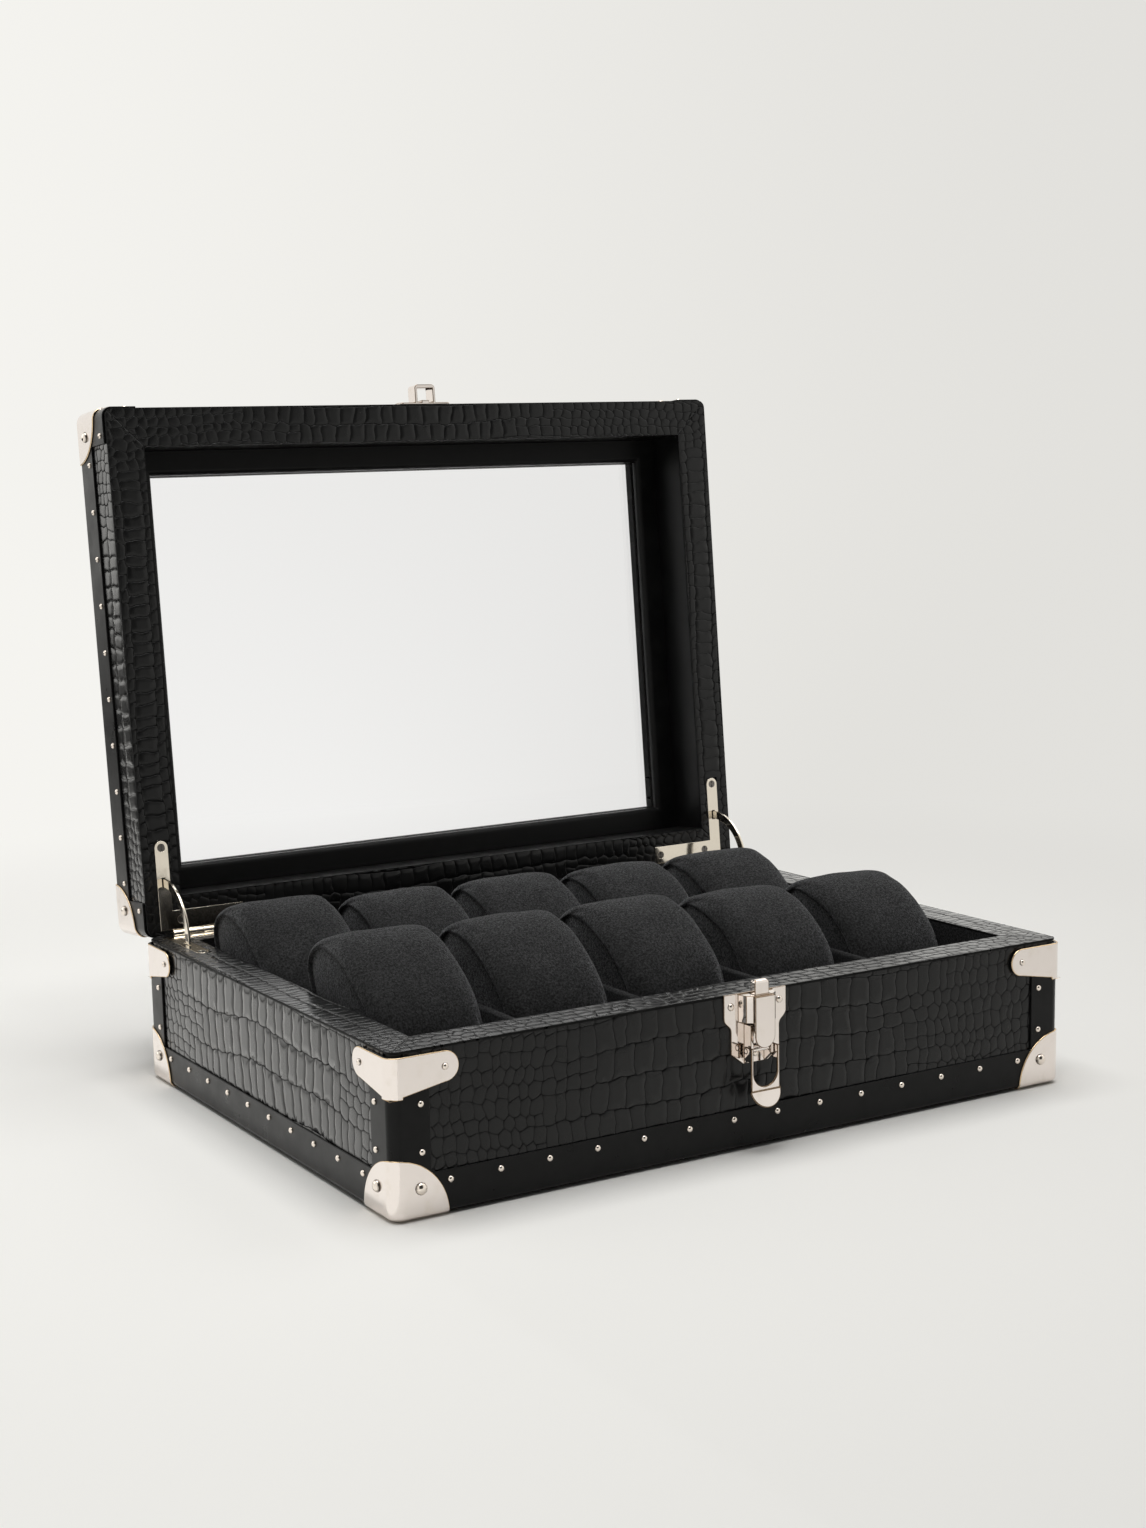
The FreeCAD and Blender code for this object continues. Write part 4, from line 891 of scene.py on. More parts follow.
@dataclass
class Sheet:
    """A flat sheet of embossed leather.

    Attributes:
        outline: Corners in the sheet's own u and v, convex and anticlockwise.
        place: Takes u, v and height to the shut box.
        grain: How its scales are laid out.
        length: Of the strip that the scales are laid out on.
        height: Of that strip.
        edges: Height of the outline edges that aren't a plain folded edge, by number.
        polish: Gloss of its coat, from 0 to 1.
        groove: Depth of the creases between rows.
        divide_depth: Depth of creases that run across the strip, as a share of the groove.
        lean_depth: Added to that where a crease runs along the strip.
        end_loss: Share of every depth that is lost at the ends.
        folded: Height of a folded edge.
        step: Spacing of the points along a crease.
        rings: The rings on a scale's slope, from the crease up.
        top_share: Size of a scale's flat top, as a share of the last ring.
        bends: Waves of the creases, two in u and two in v, in mm.
        calm: Distance from the outline over which they grow.
    """

    outline: list[Pair]
    place: Matrix
    grain: Grain
    length: float
    height: float
    edges: dict[int, float] = field(default_factory=dict)
    polish: float = 0.0
    groove: float = 0.34 * MM
    divide_depth: float = 0.7
    lean_depth: float = 0.3
    end_loss: float = 0.25
    folded: float = -0.1 * MM
    step: float = 1.6 * MM
    rings: tuple[ScaleRing, ...] = (
        ScaleRing(0.16, 12.0, -0.12, 0.4),
        ScaleRing(0.4, 9.0, -0.022, 0.03, 0.3, -4.0, -0.04),
    )
    top_share: float = 0.5
    bends: tuple[tuple[Ripple, Ripple], tuple[Ripple, Ripple]] = (
        (Ripple(0.34, 0.21, 0.55), Ripple(0.18, -0.43, 1.1, 1.0)),
        (Ripple(0.34, 0.49, -0.17, 2.0), Ripple(0.18, 0.97, 0.5)),
    )
    calm: float = 4.0 * MM

    def cells(self) -> list[np.ndarray]:
        """The outlines of the scales in u and v, cut off at the sheet's outline."""
        border = np.array(self.outline)
        cells = [clipped(ring, border) for ring in self.grain.cells(self.length, self.height)]
        return [cell for cell in cells if len(cell) > 2]

    def border_heights(self, points: np.ndarray) -> tuple[np.ndarray, np.ndarray]:
        """How far points are from the outline, and the height that its nearest edge calls for."""
        frames = edge_frames(np.array(self.outline))
        depths = np.array([(points - start) @ normal for start, normal in frames])
        nearest = depths.argmin(axis=0)
        heights = np.array([self.edges.get(index, self.folded) for index in nearest])
        return depths.min(axis=0), heights

    def warp(self, points: np.ndarray) -> np.ndarray:
        """Bends the creases a little, less towards the outline."""
        fade = np.clip(self.border_heights(points)[0] / self.calm, 0.0, 1.0)[:, None]
        u, v = points[:, 0] / MM, points[:, 1] / MM
        swing = np.stack([first.at(u, v) + second.at(u, v) for first, second in self.bends], axis=1)
        return points + fade * swing * MM

    def scale_rings(self, cell: np.ndarray) -> list[tuple[np.ndarray, np.ndarray, float]]:
        """One scale as rings from its crease to its top.

        Args:
            cell: The scale's outline.

        Returns:
            For each ring its points, their heights and its crease value.
        """
        spans = np.roll(cell, -1, axis=0) - cell
        lengths = np.linalg.norm(spans, axis=1)
        counts = np.maximum(1, np.round(lengths / self.step)).astype(int)
        crease = np.vstack(
            [corner + span * (np.arange(n) / n)[:, None] for corner, span, n in zip(cell, spans, counts)]
        )
        middle = cell.mean(axis=0)
        reach = np.linalg.norm(crease - middle, axis=1)
        rays = (crease - middle) / reach[:, None]
        end = self.grain.change(abs(middle[0]) / (self.length / 2.0))
        lean = np.repeat(np.abs(spans[:, 0]) / lengths, counts)
        depth = -self.groove * (self.divide_depth + self.lean_depth * lean)
        distance, edge_height = self.border_heights(crease)
        depth = np.where(distance < ON_EDGE, edge_height, depth * (1.0 - self.end_loss * end))
        rings = [(crease, depth, 1.0)]
        normals = np.stack((spans[:, 1], -spans[:, 0]), axis=1) / lengths[:, None]
        wide = np.maximum(np.sum((cell - middle) * normals, axis=1), LEAST_WIDTH)
        alike = 1.0 / (normals @ normals.T > PARALLEL).sum(axis=1)
        facing = np.maximum(rays @ normals.T, 0.0)
        for ring in self.rings:
            inset, power, height = ring.at(end)
            room = np.maximum(wide - inset, LEAST_ROOM * wide)
            pull = np.sum(alike * (facing / room) ** power, axis=1) ** (1.0 / power)
            radius = np.minimum(1.0 / np.maximum(pull, TINY), MOST_REACH * reach)
            rings.append((middle + rays * radius[:, None], np.full(len(crease), height), ring.crease))
        top = middle + (rings[-1][0] - middle) * self.top_share
        rings.append((top, np.zeros(len(crease)), 0.0))
        return rings

    def add_to(self, skin: "LeatherMesh") -> None:
        """Adds the sheet's scales to a leather mesh."""
        draw = np.random.default_rng(self.grain.seed + TONE_SEED)
        for cell in self.cells():
            rings = self.scale_rings(cell)
            tone = float(draw.uniform())
            around = len(rings[0][0])
            flat = np.vstack([ring[0] for ring in rings] + [cell.mean(axis=0)[None]])
            heights = np.concatenate([ring[1] for ring in rings] + [np.zeros(1)])
            crease = np.append(np.repeat([ring[2] for ring in rings], around), 0.0)
            points = np.column_stack((self.warp(flat), heights, np.ones(len(flat))))
            spots = points @ np.array(self.place).T[:, :3]
            skin.add_scale(spots, around, crease=crease, scale_tone=tone, polish=self.polish)


class LeatherMesh:
    """Collects sheets of scales into one mesh of leather with its cut edges closed."""

    def __init__(self) -> None:
        self.points: list[np.ndarray] = []
        self.looks: dict[str, list[np.ndarray]] = {"crease": [], "scale_tone": [], "polish": []}
        self.faces: Faces = []
        self.total = 0

    def add_scale(self, points: np.ndarray, around: int, **looks: np.ndarray | float) -> None:
        """Adds one scale: its rings from the outside in, then its middle point.

        Args:
            points: The rings' points and the middle point.
            around: Points in a ring.
            looks: Values of the points' crease, scale_tone and polish.
        """
        top = self.total + len(points) - 1
        last = top - around
        for outer in range(self.total, last, around):
            for index in range(around):
                after = (index + 1) % around
                inner = outer + around
                self.faces.append((outer + index, outer + after, inner + after, inner + index))
        for index in range(around):
            self.faces.append((last + index, last + (index + 1) % around, top))
        self.points.append(points)
        for name, value in looks.items():
            self.looks[name].append(np.broadcast_to(value, len(points)))
        self.total += len(points)

    def finished(
        self,
        name: str,
        inward: list[Vector],
        windows: list[Window],
        thickness: float,
        placement: Matrix,
        fold: tuple[Vector, float] | None = None,
    ) -> bpy.types.Mesh:
        """Welds the sheets, cuts windows in them and closes their edges.

        Args:
            name: The mesh's name.
            inward: One direction for each sheet's back; a point uses the one its face turns from.
            windows: Lowest and highest corners of the places cut out.
            thickness: Of the leather.
            placement: From the shut box to the place at rest.
            fold: Half sizes of an opening, and how far the leather is turned down into it.

        Returns:
            The mesh, with crease, scale_tone and polish attributes.
        """
        mesh = bpy.data.meshes.new(name)
        mesh.from_pydata(np.vstack(self.points).tolist(), [], self.faces)
        for label, values in self.looks.items():
            layer = mesh.attributes.new(label, "FLOAT", "POINT")
            layer.data.foreach_set("value", np.concatenate(values).astype(np.float32))
        work = bmesh.new()
        work.from_mesh(mesh)
        bmesh.ops.remove_doubles(work, verts=work.verts, dist=WELD)
        for low, high in windows:
            cut_window(work, low, high)
        rim = [edge for edge in work.edges if edge.is_boundary]
        down: dict[Place, Vector] = {}
        for edge in rim:
            normal = edge.link_faces[0].normal
            towards = min(inward, key=lambda way: way.dot(normal))
            down.update({rounded(vertex.co): towards for vertex in edge.verts})
        extruded = bmesh.ops.extrude_edge_only(work, edges=rim)["geom"]
        for vertex in extruded:
            if not isinstance(vertex, bmesh.types.BMVert):
                continue
            deep = thickness
            if fold and abs(vertex.co.x) < fold[0].x + WELD and abs(vertex.co.y) < fold[0].y + WELD:
                deep = fold[1]
            vertex.co += down[rounded(vertex.co)] * deep
        bmesh.ops.holes_fill(work, edges=[edge for edge in work.edges if edge.is_boundary], sides=0)
        bmesh.ops.recalc_face_normals(work, faces=work.faces)
        bmesh.ops.transform(work, matrix=placement, verts=work.verts)
        work.to_mesh(mesh)
        work.free()
        mesh.shade_smooth()
        mesh.set_sharp_from_angle(angle=FOLD_ANGLE)
        return mesh


def rounded(place: Vector) -> Place:
    """A place rounded, as a key to look it up by."""
    return tuple(round(part, PLACE_DIGITS) for part in place)


def lies_over(face: bmesh.types.BMFace, low: Vector, high: Vector, margin: float = 0.0) -> bool:
    """Whether a face's middle is over a window, or less than a margin beside it."""
    middle = face.calc_center_median()
    return all(low[axis] - margin < middle[axis] < high[axis] + margin for axis in (0, 1))


def cut_window(work: bmesh.types.BMesh, low: Vector, high: Vector) -> None:
    """Cuts an upright window with sides along x and y out of a flat mesh."""
    for axis, normal in enumerate((Vector((1.0, 0.0, 0.0)), Vector((0.0, 1.0, 0.0)))):
        for level in (low[axis], high[axis]):
            near = [face for face in work.faces if lies_over(face, low, high, WINDOW_MARGIN)]
            parts = {item for face in near for item in (*face.verts, *face.edges, face)}
            plane = {"plane_co": normal * level, "plane_no": normal}
            bmesh.ops.bisect_plane(work, geom=list(parts), dist=ON_PLANE, **plane)
    inside = [face for face in work.faces if lies_over(face, low, high)]
    bmesh.ops.delete(work, geom=inside, context="FACES")


@dataclass
class LeatherCover:
    """The embossed leather of the base and the lid.

    Attributes:
        corner: Radius of the upright corners.
        rim_width: Width of the rims' leather.
        thickness: Of the leather.
        tuck: How far sheets reach under the strips and bindings.
        rim_groove: Depth of the mitres.
        back_ridge: How far the base's back edge stands up, close to the open lid.
        corner_angles: Points on the rims' round corners, in degrees.
        hinge_seats: Near and far end, and low and high y, of the hinge leaves' seats on the right, in mm.
        lid_window: Width of the lid's top round the glass.
        turn_down: How far the lid's top is turned down to the glass.
        front: Grain of the base's long walls.
        side: Of its short walls.
        rim_front: Of the base rim's long strips.
        rim_side: Of its short strips.
        lid_rim_front: Of the lid rim's long strips.
        lid_rim_side: Of its short strips.
        lid_side: Of the lid's walls.
        lid_top: Of the lid's top.
    """

    corner: float = 4.0 * MM
    rim_width: float = 19.0 * MM
    thickness: float = 0.95 * MM
    tuck: float = 2.0 * MM
    rim_groove: float = 0.4 * MM
    back_ridge: float = 0.34 * MM
    corner_angles: tuple[float, ...] = (-90.0, -75.0, -60.0, -45.0)
    hinge_seats: tuple[tuple[float, float, float, float], ...] = (
        (164.8, 172.2, 83.4, 130.0),
        (126.8, 172.2, 119.1, 130.0),
        (142.8, 166.2, 128.8, 131.5),
    )
    lid_window: float = 31.8 * MM
    turn_down: float = 4.8 * MM
    front: Grain = Grain((0.25,) * 4, 9.2 * MM, 5.4 * MM, (0.34, 0.66), seed=3)
    side: Grain = Grain((0.33, 0.34, 0.33), 9.0 * MM, 5.6 * MM, (0.45, 0.9), 2.2 * MM, seed=5)
    rim_front: Grain = Grain((0.25,) * 4, 7.4 * MM, 5.0 * MM, (0.5, 0.8), 0.7 * MM, 0.24, seed=7)
    rim_side: Grain = Grain((0.5, 0.5), 4.4 * MM, 3.8 * MM, (0.5, 0.8), 1.2 * MM, 0.24, 1.1 * MM, seed=9)
    lid_rim_front: Grain = Grain((0.5, 0.5), 8.6 * MM, 5.4 * MM, (0.2, 0.65), 1.2 * MM, seed=11)
    lid_rim_side: Grain = Grain((0.2, 0.58, 0.22), 6.6 * MM, 5.2 * MM, (0.55, 0.85), 0.9 * MM, seed=13)
    lid_side: Grain = Grain((0.5, 0.5), 8.0 * MM, 5.2 * MM, (0.4, 0.75), 1.2 * MM, seed=15)
    lid_top: Grain = Grain((0.34, 0.33, 0.33), 8.4 * MM, 5.4 * MM, (0.4, 0.75), 0.8 * MM, seed=17)

    def build(self, frame: Frame, finishes: Finishes) -> None:
        """Builds every leather piece and puts it in its node's stead."""
        self._walls(frame, finishes, "base", (self.front, self.side))
        self._walls(frame, finishes, "lid", (self.lid_side, self.lid_side))
        self._rim(frame, finishes, "base_rim_leather", UP, (self.rim_front, self.rim_side))
        self._rim(frame, finishes, "lid_rim_leather", -UP, (self.lid_rim_front, self.lid_rim_side))
        self._top(frame, finishes)

    def hinge_cuts(self) -> list[Window]:
        """The places of the hinge leaves in the rims, right and left."""
        cuts = []
        for near, far, low, high in self.hinge_seats:
            for begin, end in ((near, far), (-far, -near)):
                cuts.append((Vector((begin, low, 0.0)) * MM, Vector((end, high, 0.0)) * MM))
        return cuts

    @staticmethod
    def wall_place(side: Side, half: float, low: float) -> Matrix:
        """Where a wall sheet lies: u along the wall, v up."""
        outward = side.outward
        axes = Matrix((UP.cross(outward), UP, outward)).transposed().to_4x4()
        return Matrix.Translation(outward * half + UP * low) @ axes

    @staticmethod
    def flat_place(side: Side, half: float, level: float, normal: Vector) -> Matrix:
        """Where a flat strip lies: u along the side, v towards the middle of the box."""
        inward = -side.outward
        axes = Matrix((inward.cross(normal), inward, normal)).transposed().to_4x4()
        return Matrix.Translation(side.outward * half + UP * level) @ axes

    def _finish(
        self,
        frame: Frame,
        finishes: Finishes,
        node: str,
        skin: LeatherMesh,
        inward: list[Vector],
        windows: list[Window],
        fold: tuple[Vector, float] | None = None,
    ) -> None:
        """Makes a node's leather from its sheets."""
        mesh = skin.finished(f"{node}_scales", inward, windows, self.thickness, frame.placement(node), fold)
        mesh.materials.append(finishes[Slot.EMBOSSED])
        frame.settle(shown(f"{node}_scales", mesh), node)

    def _walls(self, frame: Frame, finishes: Finishes, half: str, grains: tuple[Grain, Grain]) -> None:
        """The four walls of the base or the lid, between its bindings and strips.

        Args:
            frame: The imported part.
            finishes: The materials.
            half: Which of the two.
            grains: Of the long walls and of the short ones.
        """
        node = f"{half}_side_leather"
        low, high = frame.shut_box(node)
        strip_low, strip_high = frame.shut_box(f"{half}_corner_strips")
        base = strip_low.z - self.tuck if half == "base" else low.z
        top = high.z if half == "base" else strip_high.z + self.tuck
        tall = top - base
        skin = LeatherMesh()
        for number, side in enumerate(Side):
            along = side.lengthwise
            length = 2.0 * (high[along] - self.corner - self.tuck)
            grain = grains[along].reseeded(number)
            corners = [(-length / 2, 0.0), (length / 2, 0.0), (length / 2, tall), (-length / 2, tall)]
            place = self.wall_place(side, high[1 - along], base)
            Sheet(corners, place, grain, length, tall, polish=along).add_to(skin)
        self._finish(frame, finishes, node, skin, [-side.outward for side in Side], [])

    def _rim(
        self, frame: Frame, finishes: Finishes, node: str, normal: Vector, grains: tuple[Grain, Grain]
    ) -> None:
        """A rim of four strips that meet in mitres.

        Args:
            frame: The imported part.
            finishes: The materials.
            node: The rim's node.
            normal: The direction that the rim faces with the lid shut.
            grains: Of the long strips and of the short ones.
        """
        low, high = frame.shut_box(node)
        level = high.z if normal.z > 0 else low.z
        skin = LeatherMesh()
        for number, side in enumerate(Side):
            half = high[side.lengthwise]
            grain = grains[side.lengthwise].reseeded(number)
            turns = [math.radians(angle) for angle in self.corner_angles]
            along = [half - self.corner + self.corner * math.cos(turn) for turn in turns]
            inward = [self.corner + self.corner * math.sin(turn) for turn in turns]
            right = [*zip(along, inward), (half - self.rim_width, self.rim_width)]
            outline = [*right, *((-u, v) for u, v in reversed(right))]
            edges = {len(turns) - 1: -self.rim_groove, len(right): -self.rim_groove}
            if side is Side.BACK and normal.z > 0:
                edges[len(outline) - 1] = self.back_ridge
            place = self.flat_place(side, high[1 - side.lengthwise], level, normal)
            polish = side.lengthwise if normal.z > 0 else 0.0
            Sheet(outline, place, grain, 2.0 * half, self.rim_width, edges, polish).add_to(skin)
        self._finish(frame, finishes, node, skin, [-normal], self.hinge_cuts())

    def _top(self, frame: Frame, finishes: Finishes) -> None:
        """The lid's top between its bindings and the glass."""
        node = "lid_top_leather"
        high = frame.shut_box(node)[1]
        start = high.y + frame.shut_box("lid_binding_front")[1].y - self.tuck
        deep = self.lid_window - start
        mitres = {1: -self.rim_groove, 3: -self.rim_groove}
        skin = LeatherMesh()
        for number, side in enumerate(Side):
            half = high[side.lengthwise]
            place = self.flat_place(side, high[1 - side.lengthwise] - start, high.z, UP)
            outer, inner = half - start, half - self.lid_window
            corners = [(-outer, 0.0), (outer, 0.0), (inner, deep), (-inner, deep)]
            grain = self.lid_top.reseeded(number)
            Sheet(corners, place, grain, 2.0 * half, deep, mitres).add_to(skin)
        opening = Vector((high.x - self.lid_window, high.y - self.lid_window, 0.0))
        self._finish(frame, finishes, node, skin, [-UP], [], (opening, self.turn_down))


@dataclass
class SoftenedParts:
    """CAD pieces whose edges are eased, as worked metal, turned leather and wrapped board have.

    Attributes:
        widths: How far the edges of each node are eased.
        gilded: Nodes whose cut edges show a warmer metal.
        latch: Polished nodes whose cut edges carry painted shade in a dark brass tone.
        crease_angle: Edges that turn by more than this are eased.
        folds: The same for nodes with a gentler fold.
        flat_angle: Faces that turn by less than this are joined first.
        smooth_angle: Edges that turn by more than this stay sharp.
    """

    widths: dict[str, float] = field(
        default_factory=lambda: {
            "base_caps": 0.38 * MM,
            "lid_caps": 0.38 * MM,
            "base_clips": 0.38 * MM,
            "latch_plate": 0.25 * MM,
            "latch_lever": 0.45 * MM,
            "latch_tongue": 0.35 * MM,
            "keeper": 0.32 * MM,
            **{f"hinge_{half}_leaf_{hand}": 0.15 * MM for half in HALVES for hand in HANDS},
            **{f"stay_arm_{hand}": 0.2 * MM for hand in HANDS},
            **{f"{half}_corner_strips": 0.3 * MM for half in HALVES},
            **{f"{half}_binding_{side.name.lower()}": 0.3 * MM for half in HALVES for side in Side},
            "long_divider": 1.2 * MM,
            "cross_dividers": 1.2 * MM,
            "base_wall_lining": 0.4 * MM,
            "lid_lining": 0.3 * MM,
            "glass_bead": 0.3 * MM,
        }
    )
    gilded: tuple[str, ...] = ("base_caps", "lid_caps", "base_clips")
    latch: tuple[str, ...] = ("latch_plate", "latch_lever", "latch_tongue", "keeper")
    crease_angle: float = math.radians(32.0)
    folds: dict[str, float] = field(default_factory=lambda: {"latch_lever": math.radians(20.0)})
    flat_angle: float = math.radians(0.6)
    smooth_angle: float = math.radians(50.0)

    def build(self, frame: Frame, finishes: Finishes) -> None:
        """Eases every listed node and puts the result in its stead."""
        for node, width in self.widths.items():
            self._ease(frame, finishes, node, width)

    def _ease(self, frame: Frame, finishes: Finishes, node: str, width: float) -> None:
        """Eases one node's edges."""
        work = bmesh.new()
        work.from_mesh(frame.nodes[node].data)
        bmesh.ops.remove_doubles(work, verts=work.verts, dist=WELD)
        bmesh.ops.dissolve_limit(work, angle_limit=self.flat_angle, verts=work.verts, edges=work.edges)
        angle = self.folds.get(node, self.crease_angle)
        sharp = [edge for edge in work.edges if edge.is_manifold and edge.calc_face_angle(0.0) > angle]
        edged = node in self.gilded + self.latch
        bmesh.ops.bevel(
            work,
            geom=sharp,
            offset=width,
            offset_type="OFFSET",
            segments=2,
            profile=0.5,
            affect="EDGES",
            clamp_overlap=False,
            material=1 if edged else -1,
        )
        mesh = bpy.data.meshes.new(f"{node}_eased")
        work.to_mesh(mesh)
        work.free()
        mesh.materials.append(finishes.polished if node in self.latch else finishes[frame.slot_of[node]])
        if edged:
            # The latch's eased edges take the painted shade, the corner pieces' the gilt.
            mesh.materials.append(finishes.brass_and_shade_edge if node in self.latch else finishes.gilt)
        mesh.shade_smooth()
        mesh.set_sharp_from_angle(angle=self.smooth_angle)
        piece = shown(f"{node}_eased", mesh)
        weighted = piece.modifiers.new("weighted", "WEIGHTED_NORMAL")
        weighted.keep_sharp = True
        frame.settle(baked(piece), node)


@dataclass
class DomedHeads:
    """Round heads of nails and rivets, set by Geometry Nodes where the CAD heads are.

    Attributes:
        nodes: The nodes of heads.
        segments: Faces round one head.
        rings: Rings of a whole ball, of which a head keeps the upper part.
        cut: Where that part ends, on a ball of radius 1.
        foot_share: Points of a CAD head beyond this share of its radius are its foot.
    """

    nodes: tuple[str, ...] = (
        "base_nails",
        "lid_nails",
        "base_cap_rivets",
        "lid_cap_rivets",
        "latch_rivets",
        "keeper_rivets",
    )
    segments: int = 14
    rings: int = 8
    cut: float = -0.2
    foot_share: float = 0.97

    def build(self, frame: Frame, finishes: Finishes) -> None:
        """Sets every head."""
        group = self._tree()
        for node in self.nodes:
            places, outward, radius, rise = self._places(frame, node)
            mesh = bpy.data.meshes.new(f"{node}_places")
            mesh.from_pydata(places, [], [])
            layer = mesh.attributes.new("outward", "FLOAT_VECTOR", "POINT")
            layer.data.foreach_set("vector", [part for way in outward for part in way])
            piece = shown(f"{node}_heads", mesh)
            heads = piece.modifiers.new("heads", "NODES")
            heads.node_group = group
            values = {"Radius": radius, "Rise": rise, "Finish": finishes.heads}
            for socket in group.interface.items_tree:
                if socket.name in values:
                    heads[socket.identifier] = values[socket.name]
            baked(piece)
            frame.settle(piece, node)

    @staticmethod
    def _islands(mesh: bpy.types.Mesh) -> list[np.ndarray]:
        """The vertices of each loose part of a mesh."""
        work = bmesh.new()
        work.from_mesh(mesh)
        bmesh.ops.remove_doubles(work, verts=work.verts, dist=WELD)
        left = set(work.verts)
        islands = []
        for start in list(work.verts):
            if start not in left:
                continue
            left.discard(start)
            stack, part = [start], []
            while stack:
                vertex = stack.pop()
                part.append(vertex.co.copy())
                for edge in vertex.link_edges:
                    other = edge.other_vert(vertex)
                    if other in left:
                        left.discard(other)
                        stack.append(other)
            islands.append(np.array(part))
        work.free()
        return islands

    def _places(self, frame: Frame, node: str) -> tuple[list[Vector], list[Vector], float, float]:
        """Where a node's heads sit, which way they face, and their size."""
        placement = frame.placement(node)
        back = placement.inverted()
        owner = "lid" if node.startswith(("lid", "keeper")) else "base"
        high = frame.shut_box(f"{owner}_side_leather")[1]
        half = Vector((high.x, high.y, high.z if node.startswith("lid") else 1.0))
        places, outward, radii, rises = [], [], [], []
        for island in self._islands(frame.nodes[node].data):
            points = np.array([back @ Vector(point) for point in island])
            middle = points.mean(axis=0)
            axis = int(np.argmax([abs(middle[0]) - half.x, abs(middle[1]) - half.y, middle[2] - half.z]))
            way = Vector((0.0, 0.0, 0.0))
            way[axis] = 1.0 if axis == 2 else math.copysign(1.0, middle[axis])
            along = points @ np.array(way)
            across = [index for index in range(3) if index != axis]
            centre = (points[:, across].min(axis=0) + points[:, across].max(axis=0)) / 2.0
            distance = np.linalg.norm(points[:, across] - centre, axis=1)
            radius = distance.max()
            under = along[distance > self.foot_share * radius].min()
            spot = Vector(way) * under
            spot[across[0]], spot[across[1]] = centre
            places.append(placement @ spot)
            outward.append(placement.to_3x3() @ way)
            radii.append(radius)
            rises.append(along.max() - under)
        return places, outward, float(np.median(radii)), float(np.median(rises))

    def _tree(self) -> bpy.types.NodeTree:
        """The node group that sets a dome on each point."""
        group = bpy.data.node_groups.new("domed_heads", "GeometryNodeTree")
        inputs = {"Places": "Geometry", "Radius": "Float", "Rise": "Float", "Finish": "Material"}
        for name, kind in inputs.items():
            group.interface.new_socket(name, in_out="INPUT", socket_type=f"NodeSocket{kind}")
        group.interface.new_socket("Heads", in_out="OUTPUT", socket_type="NodeSocketGeometry")
        graph = NodeGraph(group)
        given = graph.add("NodeGroupInput").outputs
        sizes = {"Segments": self.segments, "Rings": self.rings, "Radius": 1.0}
        ball = graph.add("GeometryNodeMeshUVSphere", **sizes).outputs["Mesh"]
        position = graph.add("GeometryNodeInputPosition").outputs[0]
        level = graph.add("ShaderNodeSeparateXYZ", Vector=position).outputs["Z"]
        less = {"data_type": "FLOAT", "operation": "LESS_THAN"}
        under = graph.add("FunctionNodeCompare", less, A=level, B=self.cut).outputs["Result"]
        named = graph.add("GeometryNodeStoreNamedAttribute", Name="rise", Geometry=ball, Value=level)
        ball = named.outputs["Geometry"]
        dome = graph.add("GeometryNodeDeleteGeometry", Geometry=ball, Selection=under).outputs["Geometry"]
        size = graph.add("ShaderNodeCombineXYZ", X=given["Radius"], Y=given["Radius"], Z=given["Rise"])
        outward = graph.add("GeometryNodeInputNamedAttribute", {"data_type": "FLOAT_VECTOR"}, Name="outward")
        way = outward.outputs["Attribute"]
        turn = graph.add("FunctionNodeAlignRotationToVector", {"axis": "Z"}, Vector=way)
        heads = graph.add(
            "GeometryNodeInstanceOnPoints",
            Points=given["Places"],
            Instance=dome,
            Rotation=turn.outputs["Rotation"],
            Scale=size.outputs["Vector"],
        ).outputs["Instances"]
        heads = graph.add("GeometryNodeRealizeInstances", Geometry=heads).outputs["Geometry"]
        heads = graph.add("GeometryNodeSetShadeSmooth", Geometry=heads).outputs["Geometry"]
        painted = graph.add("GeometryNodeSetMaterial", Geometry=heads, Material=given["Finish"])
        graph.add("NodeGroupOutput", Heads=painted.outputs["Geometry"])
        return group


